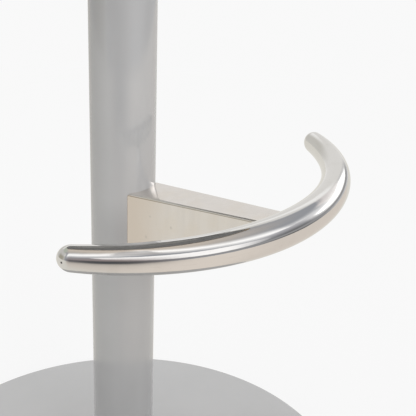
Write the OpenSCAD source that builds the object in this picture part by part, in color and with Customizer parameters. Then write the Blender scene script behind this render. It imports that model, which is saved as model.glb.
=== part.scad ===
// Swivel bar stool: a round base plate, a fixed column with a gas lift inside,
// a crescent foot bar on a wedge bracket, and a round padded seat with a height lever.
// Lengths are in millimetres and +Z is up. The column stands on the origin, the floor is z = 0,
// and the foot bar is on the -Y side, which is the front of the stool.

/* [Base] */
// Diameter of the base plate
base_d = 450; // [400:1:520]
// Thickness of the base plate
base_t = 10; // [8:0.5:16]
// Radius of the rounded top edge of the base plate
base_edge_r = 2; // [1:0.5:5]
// Height that the floor ring holds the base plate off the floor
ring_stand = 2; // [1:0.5:4]
// Width of the rubber floor ring
ring_w = 14; // [8:1:24]
// Distance from the edge of the base plate to the floor ring
ring_inset = 6; // [4:1:20]
// Depth of the groove that holds the floor ring
ring_groove = 1.5; // [1:0.25:3]

/* [Column] */
// Outer diameter of the column tube
column_d = 57; // [55:0.5:64]
// Wall of the column tube
column_wall = 2.5; // [2:0.25:3.5]
// Height of the upper end of the column tube above the floor
column_top = 520; // [480:1:600]
// Height of the steel plug at the foot of the column
plug_h = 28; // [24:1:40]
// Diameter of the hollow in the middle of the plug
plug_bore_d = 24; // [22:0.5:26]
// Diameter of the screws that hold the plug to the base plate
base_screw_d = 8; // [6:0.5:8]
// Diameter of the circle that the base screws lie on
base_screw_pcd = 37; // [35:0.5:39]
// Length of the base screws
base_screw_len = 30; // [22:1:32]
// Number of base screws
base_screw_count = 4; // [3:1:4]
// Length of the plastic guide bush in the upper end of the column
bush_len = 90; // [60:1:110]
// Thickness of the trim collar on top of the column
collar_t = 5; // [3:0.5:8]
// Height of the collar's skirt around the column
collar_skirt = 5; // [3:0.5:8]
// Thickness of the collar's skirt
collar_wall = 1.5; // [1:0.25:3]

/* [Foot bar] */
// Height of the centre line of the foot bar above the floor
foot_z = 355; // [310:1:390]
// Distance from the column axis to the centre line of the foot bar at the front
foot_reach = 184; // [165:1:195]
// Bend radius of the centre line of the foot bar
foot_bend_r = 192; // [180:1:220]
// Angle from the middle of the foot bar to each end
foot_half_angle = 57.5; // [45:0.5:70]
// Depth of the foot bar's section at its middle, front to back
foot_mid_depth = 27.5; // [24:0.5:34]
// Height of the foot bar's section at its middle
foot_mid_height = 28; // [26:0.5:34]
// Depth of the foot bar's section where the end domes start
foot_end_depth = 18; // [10:0.5:24]
// Height of the foot bar's section where the end domes start
foot_end_height = 20; // [14:0.5:26]
// Length of the dome on each end of the foot bar
foot_dome = 9; // [3:0.5:12]

/* [Foot bracket] */
// Thickness of the folded sheet of the foot bracket
bracket_sheet = 3; // [2:0.25:4]
// Width of the foot bracket at the column
bracket_root_w = 37.5; // [30:0.5:46]
// Width of the foot bracket at the foot bar
bracket_tip_w = 28; // [20:0.5:32]
// Depth of the bracket's sides at the column
bracket_root_h = 60; // [40:1:70]
// Height of the bracket's lower edge at the foot bar above the foot bar's underside
bracket_tip_rise = 0.5; // [0.25:0.25:1.5]
// Drop from the foot bar's centre line to the bracket's top at the column
bracket_root_drop = 16.25; // [12:0.25:20]
// Drop from the foot bar's centre line to the bracket's top at the foot bar
bracket_tip_drop = 1.5; // [1:0.25:6]
// Radius of the folded edges of the foot bracket
bracket_edge_r = 2.5; // [1:0.25:4]

/* [Gas lift] */
// Travel of the seat between its lowest and highest place
stroke = 180; // [120:1:240]
// Outer diameter of the pressure cylinder
cylinder_d = 28; // [26:0.5:30]
// Inner diameter of the pressure cylinder
cylinder_bore = 22; // [20:0.5:23]
// Diameter of the piston rod
rod_d = 10; // [8:0.5:10]
// Thickness of the steel disc that carries the rod
rod_seat_t = 6; // [4:0.5:8]
// Thickness of each washer of the thrust bearing
race_t = 2; // [1.5:0.25:3]
// Outer diameter of the thrust bearing
race_d = 26; // [24:0.5:30]
// Diameter of the bearing balls
ball_d = 4; // [3:0.25:5]
// Number of bearing balls
ball_count = 10; // [8:1:12]
// Height of the rubber bump stop
bump_h = 15; // [8:0.5:20]
// Length of the rod guide in the lower end of the pressure cylinder
gland_len = 24; // [16:1:30]
// Length of the piston
piston_len = 14; // [10:0.5:18]
// Length of the valve body in the upper end of the pressure cylinder
valve_len = 30; // [25:1:40]
// Length of the taper on the upper end of the pressure cylinder
taper_len = 55; // [52:1:70]
// Difference in diameter over the whole taper
taper_drop = 2; // [1:0.25:2.5]
// Diameter of the release pin
pin_d = 6; // [5:0.5:7]
// Height that the release pin stands above the pressure cylinder
pin_proud = 6; // [5:0.5:8]

/* [Seat mechanism] */
// Gap between the column's collar and the seat socket at the lowest place
socket_gap = 6; // [3:0.5:20]
// Length of the socket that takes the taper
socket_len = 46; // [40:1:50]
// Outer diameter of the socket
socket_d = 42; // [38:0.5:48]
// Thickness of the seat plate's steel
plate_t = 3; // [2.5:0.25:4]
// Side of the square seat plate
plate_w = 150; // [146:1:170]
// Radius of the seat plate's corners
plate_corner_r = 12; // [6:0.5:16]
// Length of the tray in the middle of the seat plate
tray_l = 72; // [68:1:74]
// Distance from the seat's axis to the back of the tray
tray_back = 26; // [24:0.5:28]
// Width of the tray in the middle of the seat plate
tray_w = 44; // [38:1:50]
// Distance between the seat screws
seat_screw_pitch = 120; // [118:1:126]
// Diameter of the seat screws
seat_screw_d = 6; // [5:0.5:7]

/* [Lever] */
// Length of the lever's straight part outside the tray
lever_straight = 12; // [8:1:18]
// Diameter of the lever rod
lever_d = 8; // [6:0.5:9]
// Distance from the release pin's axis to the lever's pivot
lever_arm = 24; // [20:0.5:26]
// Angle that the lever swings through
lever_swing = 7; // [5:0.5:8]
// Angle that the lever's outer part slopes down
lever_droop = 15; // [12:1:20]
// Length of the lever's sloping part, grip included
lever_len = 112; // [90:1:116]
// Diameter of the pivot pin
pivot_d = 5; // [4:0.5:6]
// Diameter of the grip
grip_d = 17; // [14:0.5:20]
// Length of the grip
grip_len = 58; // [40:1:70]

/* [Seat] */
// Diameter of the seat over its padding
seat_d = 380; // [350:1:420]
// Distance from the outside of the padding to the edge of the seat board
board_inset = 9; // [8:0.5:20]
// Thickness of the seat board
board_t = 12; // [10:0.5:18]
// Height of the padding at the rim, above the seat board
pad_rim_h = 46; // [36:1:60]
// Height of the crown above the rim
pad_crown = 12; // [6:0.5:20]
// Amount that the padded side is drawn in at its seams
pad_pull = 5; // [2:0.5:8]
// Thickness of the seat cover with its backing
cover_t = 2; // [1.5:0.25:3]
// Diameter of the piping in the top seam
piping_d = 6; // [4:0.5:8]

/* [Hidden] */
$fn = 96;

// Radial play of a shaft that turns or slides in its hole
run_gap = 0.05;
// Gap between faces that meet at rest but belong to pieces that move apart
rest_gap = 0.3;
// Extra length of a cutting shape past the face that it cuts
cut = 1;

// Heights in the base and the column
plate_bottom = ring_stand;
base_top = ring_stand + base_t;
plug_top = base_top + plug_h;
rod_seat_top = plug_top + rod_seat_t;
race_top = rod_seat_top + race_t;
ball_top = race_top + ball_d;
upper_race_bottom = ball_top + run_gap;
bump_bottom = upper_race_bottom + race_t;
cylinder_bottom = bump_bottom + bump_h + rest_gap;
collar_top = column_top + collar_t;
column_r = column_d / 2;
column_bore_r = column_r - column_wall;

// Sizes of the base screws
screw_r = base_screw_d / 2;
screw_head_r = base_screw_d;
screw_head_h = base_screw_d / 2;
screw_first_angle = 45;
tap_extra = 2;

// Shares of a screw's radius and head that its hexagon socket takes
hex_share = 0.64;
hex_depth_share = 0.65;

// Sizes of the clip under the rod seat
clip_t = 1.2;
clip_w = 4;
clip_r = rod_d / 2 + clip_w;
clip_mouth_share = 0.7;
clip_z = plug_top - clip_t - run_gap;
rod_tail = 3;
rod_neck = 1;

// Heights of the gas lift's inner pieces
piston_spare = 4;
rod_tip = 2;
piston_bottom = cylinder_bottom + stroke + gland_len + piston_spare;
rod_top = piston_bottom + piston_len + rod_tip;
// Share of the balls' diameter that the cage takes
cage_share = 0.4;
// Distance from the edge of the bearing's washer to the bump stop
bump_inset = 1;
// Height of the release pin's lower end above the valve body's lower end
pin_foot = 6;

// Sizes of the lever, its grip and its pivot
lever_clearance = 2;
lever_bend_r = 36;
// Step in diameter from each stretch of the bent rod to the next
bend_step = 0.2;
lever_tail = 8;
eye_wall = 3.5;
eye_r = pivot_d / 2 + eye_wall;
eye_w = 10;
slot_gap = 1.5;
pivot_head_rim = 1.5;
pivot_head_r = pivot_d / 2 + pivot_head_rim;
pivot_head_t = 2;
grip_cap = 4;
grip_neck_share = 0.72;
grip_taper_share = 0.35;
grip_edge_share = 0.6;

// Heights in the seat mechanism at its lowest place
socket_bottom = collar_top + socket_gap;
tray_bottom = socket_bottom + socket_len;
cylinder_top = tray_bottom + plate_t;
pin_top = cylinder_top + pin_proud;
lever_z = pin_top + rest_gap + lever_d / 2;
tray_front = tray_l - tray_back;
lever_bend_x = tray_front + plate_t + lever_straight;
lever_room = (lever_bend_x - lever_arm) * tan(lever_swing) + lever_clearance;
flange_z = lever_z + lever_d / 2 + lever_room;
board_bottom = flange_z + plate_t;
board_top = board_bottom + board_t;

// Sizes of the seat's screws and nuts
nut_wall = 1.2;
nut_r = seat_screw_d / 2 + nut_wall;
nut_lift = 2;
screw_short = 1;
nut_flange_r = seat_screw_d * 1.6;
nut_flange_t = 1.5;
seat_head_r = seat_screw_d;
seat_head_h = seat_screw_d * 0.55;

// Sizes of the seat's padding
seat_r = seat_d / 2;
board_r = seat_r - board_inset;
rim_z = board_top + pad_rim_h;
crown_z = rim_z + pad_crown;
seam_r = seat_r - pad_pull;
side_mid_z = (board_bottom + rim_z) / 2;
dust_t = 1;
dust_inset = 6;
dust_gap = 1;
// The crown's shape: where its shoulder starts, and how far it has fallen there
crown_share = 0.86;
crown_fall = 0.45;
crown_steps = 8;
shoulder_steps = 4;
side_steps = 8;
// The foam's outline has no point lower than this above the board
foam_hem = 1;

// Sizes of the foot bar
foot_centre_y = foot_bend_r - foot_reach;
foot_rings = 40;
foot_sides = 24;
dome_rings = 5;

// Sizes of the foot bracket
bracket_slope = (bracket_root_drop - bracket_tip_drop) / (foot_reach - column_r);
bracket_narrowing = (bracket_root_w - bracket_tip_w) / (foot_reach - column_r);
bracket_tip_h = foot_mid_height / 2 - bracket_tip_rise - bracket_tip_drop;
// Length of the wedge inside the column's outline, which the column then cuts off
bracket_start = 14;
// Thickness of the slices that the wedge is drawn between
bracket_slice = 0.02;
bracket_least_r = 0.5;
// Angle along the foot bar that cuts the bracket's end, and the corners of that cut's section
bite_angle = 40;
bite_sides = 48;

// Colours
paint_grey = [0.62, 0.64, 0.64];
steel = [0.72, 0.72, 0.72];
bright_steel = [0.82, 0.82, 0.83];
dark_plastic = [0.12, 0.12, 0.13];
dark_leather = [0.16, 0.16, 0.17];
lining_grey = [0.5, 0.5, 0.51];

// A ring between two radii, standing on z = 0
module ring(outer_r, inner_r, h) {
  difference() {
    cylinder(r = outer_r, h = h);
    translate([0, 0, -cut]) cylinder(r = inner_r, h = h + 2 * cut);
  }
}

// A rectangle with round corners, centred on the origin
module round_rect(w, d, r) {
  square([w - 2 * r, d], center = true);
  square([w, d - 2 * r], center = true);
  for (sx = [-1, 1], sy = [-1, 1])
    translate([sx * (w / 2 - r), sy * (d / 2 - r)]) circle(r = r);
}

// Copies of the children on a circle, the first one turned by the given angle
module on_circle(d, count, first = 0) {
  for (i = [0 : count - 1])
    rotate([0, 0, first + 360 * i / count]) translate([d / 2, 0, 0]) children();
}

// Copies of the children at the four seat screws
module at_seat_screws() {
  for (sx = [-1, 1], sy = [-1, 1])
    translate([sx * seat_screw_pitch / 2, sy * seat_screw_pitch / 2, 0]) children();
}

// Round steel plate with a rounded top edge, a groove for the floor ring and countersunk holes
module base_plate() {
  color(paint_grey)
  difference() {
    translate([0, 0, plate_bottom]) {
      cylinder(d = base_d, h = base_t - base_edge_r);
      cylinder(r = base_d / 2 - base_edge_r, h = base_t);
      translate([0, 0, base_t - base_edge_r])
        rotate_extrude() translate([base_d / 2 - base_edge_r, 0]) circle(r = base_edge_r);
    }
    translate([0, 0, plate_bottom - cut])
      ring(base_d / 2 - ring_inset, base_d / 2 - ring_inset - ring_w, ring_groove + cut);
    on_circle(base_screw_pcd, base_screw_count, screw_first_angle) {
      translate([0, 0, plate_bottom - cut]) cylinder(r = screw_r + run_gap, h = base_t + 2 * cut);
      translate([0, 0, plate_bottom]) cylinder(r1 = screw_head_r, r2 = screw_r, h = screw_head_h);
    }
  }
}

// Rubber ring that the base stands on
module floor_ring() {
  color(dark_plastic)
  ring(base_d / 2 - ring_inset, base_d / 2 - ring_inset - ring_w, ring_stand + ring_groove);
}

// Countersunk screws from below, through the base plate and into the plug
module base_screws() {
  color(steel)
  on_circle(base_screw_pcd, base_screw_count, screw_first_angle)
    translate([0, 0, plate_bottom])
      difference() {
        union() {
          cylinder(r1 = screw_head_r - run_gap, r2 = screw_r - run_gap, h = screw_head_h);
          cylinder(r = screw_r - run_gap, h = base_screw_len);
        }
        translate([0, 0, -cut])
          cylinder(r = screw_r * hex_share, h = screw_head_h * hex_depth_share + cut, $fn = 6);
      }
}

// Steel plug welded into the foot of the column, with tapped holes and a hollow for the rod's end
module column_foot() {
  color(steel)
  difference() {
    translate([0, 0, base_top]) ring(column_bore_r - run_gap, plug_bore_d / 2, plug_h);
    on_circle(base_screw_pcd, base_screw_count, screw_first_angle)
      translate([0, 0, base_top - cut])
        cylinder(r = screw_r, h = plate_bottom + base_screw_len + tap_extra - base_top + cut);
  }
}

// The fixed column
module column_tube() {
  color(paint_grey)
  translate([0, 0, base_top]) ring(column_r, column_bore_r, column_top - base_top);
}

// Plated trim collar that caps the column and rings the pressure cylinder
module column_collar() {
  color(bright_steel)
  difference() {
    translate([0, 0, column_top - collar_skirt])
      cylinder(r = column_r + collar_wall, h = collar_skirt + collar_t);
    translate([0, 0, column_top - collar_skirt - cut])
      cylinder(r = column_r + run_gap, h = collar_skirt + cut);
    translate([0, 0, column_top - cut]) cylinder(r = cylinder_d / 2 + rest_gap, h = collar_t + 2 * cut);
  }
}

// Plastic bush that guides the pressure cylinder
module guide_bush() {
  color(dark_plastic)
  translate([0, 0, column_top - bush_len])
    ring(column_bore_r - run_gap, cylinder_d / 2 + run_gap, bush_len);
}

// Steel disc on top of the plug, which carries the piston rod
module rod_seat() {
  color(steel)
  translate([0, 0, plug_top]) ring(column_bore_r - run_gap, rod_d / 2 + run_gap, rod_seat_t);
}

// Lower washer of the thrust bearing
module lower_race() {
  color(bright_steel)
  translate([0, 0, rod_seat_top]) ring(race_d / 2, rod_d / 2 + rest_gap, race_t);
}

// Balls of the thrust bearing in their cage
module thrust_balls() {
  pitch_d = (race_d + rod_d) / 2;
  color(bright_steel)
  translate([0, 0, race_top + ball_d / 2]) {
    on_circle(pitch_d, ball_count) sphere(d = ball_d, $fn = 32);
    difference() {
      translate([0, 0, -ball_d * cage_share / 2])
        ring(race_d / 2 - rest_gap, rod_d / 2 + 2 * rest_gap, ball_d * cage_share);
      on_circle(pitch_d, ball_count) sphere(d = ball_d + 2 * run_gap, $fn = 32);
    }
  }
}

// Upper washer of the thrust bearing, which turns with the rod
module upper_race() {
  color(bright_steel)
  translate([0, 0, upper_race_bottom]) ring(race_d / 2, rod_d / 2, race_t);
}

// Rubber stop that the pressure cylinder comes down on
module bump_stop() {
  color(dark_plastic)
  translate([0, 0, bump_bottom]) ring(race_d / 2 - bump_inset, rod_d / 2, bump_h);
}

// Piston rod with a groove near its foot for the clip
module piston_rod() {
  color(bright_steel)
  difference() {
    translate([0, 0, clip_z - rod_tail]) cylinder(d = rod_d, h = rod_top - clip_z + rod_tail);
    translate([0, 0, clip_z]) ring(rod_d, rod_d / 2 - rod_neck, clip_t);
  }
}

// Piston near the upper end of the rod
module piston() {
  color(steel)
  translate([0, 0, piston_bottom]) ring(cylinder_bore / 2 - run_gap, rod_d / 2, piston_len);
}

// Open clip in the rod's groove, below the rod seat
module rod_clip() {
  mouth_w = (rod_d - 2 * rod_neck) * clip_mouth_share;
  color(steel)
  difference() {
    translate([0, 0, clip_z]) ring(clip_r, rod_d / 2 - rod_neck, clip_t);
    translate([0, -mouth_w / 2, clip_z - cut]) cube([clip_r + cut, mouth_w, clip_t + 2 * cut]);
  }
}

// Outer shape of the upper end of the pressure cylinder
module taper() {
  translate([0, 0, cylinder_top - taper_len])
    cylinder(d1 = cylinder_d, d2 = cylinder_d - taper_drop, h = taper_len);
}

// Pressure cylinder that carries the seat
module pressure_cylinder() {
  color(bright_steel)
  difference() {
    union() {
      translate([0, 0, cylinder_bottom])
        cylinder(d = cylinder_d, h = cylinder_top - taper_len - cylinder_bottom);
      taper();
    }
    translate([0, 0, cylinder_bottom - cut])
      cylinder(d = cylinder_bore, h = cylinder_top - cylinder_bottom + 2 * cut);
  }
}

// Rod guide and seal in the lower end of the pressure cylinder
module rod_gland() {
  color(dark_plastic)
  translate([0, 0, cylinder_bottom]) ring(cylinder_bore / 2, rod_d / 2 + run_gap, gland_len);
}

// Valve body in the upper end of the pressure cylinder
module valve_body() {
  color(steel)
  translate([0, 0, cylinder_top - valve_len]) ring(cylinder_bore / 2, pin_d / 2 + run_gap, valve_len);
}

// Release pin with a domed top
module release_pin() {
  shank = valve_len - pin_foot + pin_proud - pin_d / 2;
  color(bright_steel)
  translate([0, 0, cylinder_top - valve_len + pin_foot]) {
    cylinder(d = pin_d, h = shank);
    translate([0, 0, shank]) sphere(d = pin_d);
  }
}

// Steel socket with a tapered bore, welded under the seat plate
module seat_socket() {
  color(paint_grey)
  difference() {
    translate([0, 0, socket_bottom]) cylinder(d = socket_d, h = socket_len);
    taper();
  }
}

// Pressed seat plate with a tray for the lever, bolted under the seat board
module seat_plate() {
  out_back = tray_back + plate_t;
  out_front = tray_front + plate_t;
  out_w = tray_w + 2 * plate_t;
  color(paint_grey)
  difference() {
    union() {
      translate([0, 0, flange_z]) linear_extrude(height = plate_t)
        round_rect(plate_w, plate_w, plate_corner_r);
      translate([-out_back, -out_w / 2, tray_bottom])
        cube([out_back + out_front, out_w, flange_z + plate_t - tray_bottom]);
    }
    translate([-tray_back, -tray_w / 2, tray_bottom + plate_t])
      cube([tray_l, tray_w, flange_z + plate_t - tray_bottom]);
    taper();
    translate([0, -lever_d / 2 - slot_gap, lever_z - lever_d / 2 - slot_gap])
      cube([out_front + cut, lever_d + 2 * slot_gap, flange_z - lever_z + lever_d / 2 + slot_gap]);
    translate([lever_arm, 0, lever_z]) rotate([90, 0, 0])
      cylinder(d = pivot_d, h = out_w + 2 * cut, center = true);
    at_seat_screws() translate([0, 0, flange_z - cut])
      cylinder(r = seat_screw_d / 2 + rest_gap, h = plate_t + 2 * cut);
  }
}

// Headed pin that the lever turns on
module pivot_pin() {
  half_l = tray_w / 2 + plate_t;
  color(bright_steel)
  translate([lever_arm, 0, lever_z]) rotate([90, 0, 0]) {
    translate([0, 0, -half_l - pivot_head_t]) cylinder(d = pivot_d, h = 2 * half_l + 2 * pivot_head_t);
    translate([0, 0, half_l]) cylinder(r = pivot_head_r, h = pivot_head_t);
    translate([0, 0, -half_l - pivot_head_t]) cylinder(r = pivot_head_r, h = pivot_head_t);
  }
}

// Screws from below, through the seat plate and into the nuts
module seat_screws() {
  color(steel)
  at_seat_screws()
    difference() {
      union() {
        translate([0, 0, flange_z]) cylinder(d = seat_screw_d, h = plate_t + board_t - screw_short);
        translate([0, 0, flange_z - seat_head_h]) cylinder(r = seat_head_r, h = seat_head_h);
      }
      translate([0, 0, flange_z - seat_head_h - cut])
        cylinder(d = seat_screw_d * hex_share, h = seat_head_h * hex_depth_share + cut, $fn = 6);
    }
}

// Nuts with a flange, driven into the seat board from above
module t_nuts() {
  color(steel)
  at_seat_screws()
    difference() {
      union() {
        translate([0, 0, board_bottom + nut_lift]) cylinder(r = nut_r, h = board_t - nut_lift);
        translate([0, 0, board_top - nut_flange_t]) cylinder(r = nut_flange_r, h = nut_flange_t);
      }
      translate([0, 0, board_bottom]) cylinder(d = seat_screw_d, h = board_t + cut);
    }
}

// Plywood seat board with holes for the nuts
module seat_board() {
  color([0.75, 0.6, 0.42])
  difference() {
    translate([0, 0, board_bottom]) cylinder(r = board_r, h = board_t);
    at_seat_screws() {
      translate([0, 0, board_bottom - cut]) cylinder(r = nut_r, h = board_t + 2 * cut);
      translate([0, 0, board_top - nut_flange_t]) cylinder(r = nut_flange_r, h = nut_flange_t + cut);
    }
  }
}

// Half outline of the padding, drawn inwards by the given amount
function pad_outline(inset) = [
  [0, crown_z - inset],
  for (i = [1 : crown_steps]) [
    seam_r * crown_share * i / crown_steps,
    crown_z - inset - pad_crown * crown_fall * pow(i / crown_steps, 2)
  ],
  for (i = [1 : shoulder_steps]) [
    seam_r * crown_share + (seam_r * (1 - crown_share) - inset) * sin(90 * i / shoulder_steps),
    rim_z - inset + pad_crown * (1 - crown_fall) * cos(90 * i / shoulder_steps)
  ],
  for (i = [1 : side_steps]) [
    seam_r - inset + pad_pull * sin(180 * i / side_steps),
    rim_z - (rim_z - board_bottom - inset) * i / side_steps - inset * (1 - i / side_steps)
  ]
];

// Foam under the cover, before the piping's groove is cut
module foam_blank() {
  foam_side = [for (p = pad_outline(cover_t)) if (p[1] > board_top + foam_hem) p];
  rotate_extrude()
    polygon(concat([[0, board_top]], foam_side, [[foam_side[len(foam_side) - 1][0], board_top]]));
}

// Foam pad on the seat board, with room for the piping's inner half
module seat_foam() {
  color([0.9, 0.86, 0.7])
  difference() {
    foam_blank();
    piping_ring();
  }
}

// Cord that runs round the seam between the top and the side of the cover
module piping_ring() {
  translate([0, 0, rim_z]) rotate_extrude() translate([seam_r, 0]) circle(d = piping_d, $fn = 32);
}

// Part of the fitted cover between two heights, with a groove for the piping
module cover_panel(low, high) {
  difference() {
    intersection() {
      rotate_extrude() polygon(concat([[0, board_bottom]], pad_outline(0)));
      translate([0, 0, low]) cylinder(r = seat_d, h = high - low);
    }
    foam_blank();
    translate([0, 0, board_bottom - cut]) cylinder(r = board_r, h = board_t + cut);
    piping_ring();
  }
}

// Top panel of the seat cover
module cover_top() {
  color(dark_leather) cover_panel(rim_z - piping_d / 4, crown_z + cut);
}

// Side band of the seat cover, which runs down round the edge of the board
module cover_side() {
  color(dark_leather) cover_panel(board_bottom, rim_z - piping_d / 4);
}

// Piping in the seam between the top and the side of the cover
module seat_piping() {
  color(dark_leather) piping_ring();
}

// Fabric that closes the underside of the seat, with a cut-out for the seat plate
module dust_cover() {
  color(lining_grey)
  translate([0, 0, board_bottom - dust_t])
    linear_extrude(height = dust_t)
      difference() {
        circle(r = board_r - dust_inset);
        round_rect(plate_w + 2 * dust_gap, plate_w + 2 * dust_gap, plate_corner_r + dust_gap);
      }
}

// Places children on the lever's sloping part, along +Z from the end of the bend
module on_lever_slope() {
  translate([
    lever_bend_x + lever_bend_r * sin(lever_droop), 0,
    lever_z - lever_bend_r * (1 - cos(lever_droop))
  ])
    rotate([0, 90 + lever_droop, 0]) children();
}

// Bent rod of the height lever with its pivot eye
module lever_rod() {
  color(bright_steel)
  difference() {
    union() {
      translate([-lever_tail, 0, lever_z]) rotate([0, 90, 0])
        cylinder(d = lever_d, h = lever_bend_x + lever_tail + cut);
      translate([lever_bend_x, 0, lever_z - lever_bend_r]) rotate([90, 0, 0])
        rotate([0, 0, 90 - lever_droop]) rotate_extrude(angle = lever_droop)
          translate([lever_bend_r, 0]) circle(d = lever_d - bend_step);
      on_lever_slope() translate([0, 0, -cut])
        cylinder(d = lever_d - 2 * bend_step, h = lever_len - grip_cap + cut);
      translate([lever_arm, 0, lever_z]) rotate([90, 0, 0])
        cylinder(r = eye_r, h = eye_w, center = true);
    }
    translate([lever_arm, 0, lever_z]) rotate([90, 0, 0])
      cylinder(r = pivot_d / 2 + run_gap, h = eye_w + 2 * cut, center = true);
  }
}

// Moulded grip on the outer end of the lever
module lever_grip() {
  grip_r = grip_d / 2;
  taper_l = grip_len * grip_taper_share;
  edge_r = grip_r * grip_edge_share;
  color(dark_plastic)
  on_lever_slope()
    translate([0, 0, lever_len - grip_len])
      difference() {
        union() {
          cylinder(r1 = grip_r * grip_neck_share, r2 = grip_r, h = taper_l);
          translate([0, 0, taper_l]) cylinder(r = grip_r, h = grip_len - taper_l - edge_r);
          translate([0, 0, grip_len - edge_r])
            rotate_extrude() intersection() {
              union() {
                translate([grip_r - edge_r, 0]) circle(r = edge_r);
                square([grip_r - edge_r, edge_r]);
              }
              square([grip_r, edge_r]);
            }
        }
        translate([0, 0, -cut]) cylinder(d = lever_d - 2 * bend_step, h = grip_len - grip_cap + cut);
      }
}

// Ellipse with the given half axes, as points
function ellipse_points(a, b, count) = [
  for (i = [0 : count - 1]) [a * cos(360 * i / count), b * sin(360 * i / count)]
];

// Half axes of the foot bar's section, from -1 at one end to 1 at the other
function foot_half_depth(t) = (foot_mid_depth + (foot_end_depth - foot_mid_depth) * t * t) / 2;
function foot_half_height(t) = (foot_mid_height + (foot_end_height - foot_mid_height) * t * t) / 2;

// One closed ring of the foot bar: place t along the bar, push along it and share of the section
function foot_ring(t, push, share) =
  let (angle = t * foot_half_angle)
  let (out = [sin(angle), -cos(angle), 0])
  let (along = [cos(angle), sin(angle), 0])
  let (centre = [0, foot_centre_y, foot_z] + foot_bend_r * out + push * along)
  [for (p = ellipse_points(foot_half_depth(t) * share, foot_half_height(t) * share, foot_sides))
    centre + p[0] * out + [0, 0, p[1]]];

// Polished crescent foot bar, slimmer towards its domed ends
module foot_bar() {
  dome_angles = [for (i = [1 : dome_rings - 1]) 90 * i / dome_rings];
  rings = concat(
    [for (i = [dome_rings - 2 : -1 : 0])
      foot_ring(-1, -foot_dome * sin(dome_angles[i]), cos(dome_angles[i]))],
    [for (i = [0 : foot_rings]) foot_ring(2 * i / foot_rings - 1, 0, 1)],
    [for (i = [0 : dome_rings - 2])
      foot_ring(1, foot_dome * sin(dome_angles[i]), cos(dome_angles[i]))]
  );
  last = len(rings) - 1;
  tips = [foot_ring(-1, -foot_dome, 0)[0], foot_ring(1, foot_dome, 0)[0]];
  points = concat([for (r = rings) each r], tips);
  first_tip = len(rings) * foot_sides;
  faces = concat(
    [for (r = [0 : last - 1], s = [0 : foot_sides - 1])
      let (n = (s + 1) % foot_sides)
      [r * foot_sides + s, r * foot_sides + n, (r + 1) * foot_sides + n]],
    [for (r = [0 : last - 1], s = [0 : foot_sides - 1])
      let (n = (s + 1) % foot_sides)
      [r * foot_sides + s, (r + 1) * foot_sides + n, (r + 1) * foot_sides + s]],
    [for (s = [0 : foot_sides - 1]) [first_tip, (s + 1) % foot_sides, s]],
    [for (s = [0 : foot_sides - 1])
      [first_tip + 1, last * foot_sides + s, last * foot_sides + (s + 1) % foot_sides]]
  );
  color(bright_steel) polyhedron(points = points, faces = faces, convexity = 4);
}

// Upright outline of the bracket across its width, with rounded upper corners
module bracket_outline(w, top, bottom, r) {
  translate([-w / 2, bottom]) square([w, top - bottom - r]);
  translate([-w / 2 + r, top - 2 * r]) square([w - 2 * r, 2 * r]);
  for (side = [-1, 1]) translate([side * (w / 2 - r), top - r]) circle(r = r, $fn = 32);
}

// Solid wedge between the column axis and the foot bar's centre line
module bracket_wedge(inset, root_bottom, tip_bottom) {
  start_w = bracket_root_w + bracket_narrowing * bracket_start;
  edge_r = max(bracket_edge_r - inset, bracket_least_r);
  hull() {
    translate([0, bracket_start - column_r, foot_z - bracket_root_drop - bracket_slope * bracket_start])
      rotate([90, 0, 0]) linear_extrude(height = bracket_slice)
        bracket_outline(start_w - 2 * inset, -inset, root_bottom, edge_r);
    translate([0, bracket_slice - foot_reach, foot_z - bracket_tip_drop])
      rotate([90, 0, 0]) linear_extrude(height = bracket_slice)
        bracket_outline(bracket_tip_w - 2 * inset, -inset, tip_bottom, edge_r);
  }
}

// Folded wedge bracket, open below, fitted round the column and against the foot bar
module foot_bracket() {
  color(steel)
  difference() {
    bracket_wedge(0, -bracket_root_h, -bracket_tip_h);
    bracket_wedge(bracket_sheet, -2 * bracket_root_h, -2 * bracket_root_h);
    translate([0, 0, foot_z - 2 * bracket_root_h]) cylinder(r = column_r, h = 4 * bracket_root_h);
    translate([0, foot_centre_y, foot_z]) rotate([0, 0, -90 - bite_angle / 2])
      rotate_extrude(angle = bite_angle) translate([foot_bend_r, 0])
        polygon(ellipse_points(foot_mid_depth / 2, foot_mid_height / 2, bite_sides));
  }
}

base_plate();
floor_ring();
base_screws();
column_foot();
column_tube();
column_collar();
guide_bush();
rod_seat();
lower_race();
thrust_balls();
foot_bracket();
foot_bar();
upper_race();
bump_stop();
piston_rod();
piston();
rod_clip();
pressure_cylinder();
rod_gland();
valve_body();
seat_socket();
seat_plate();
pivot_pin();
seat_screws();
t_nuts();
seat_board();
seat_foam();
cover_top();
cover_side();
seat_piping();
dust_cover();
lever_rod();
lever_grip();
release_pin();
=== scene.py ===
"""Looks of a swivel bar stool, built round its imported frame: finishes, formed meshes and a studio."""

from __future__ import annotations

import logging
import math
from dataclasses import dataclass, field
from enum import Enum
from typing import Any, Callable, Iterable, Sequence

import bmesh
import bpy
import numpy as np
from mathutils import Matrix, Vector


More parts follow.
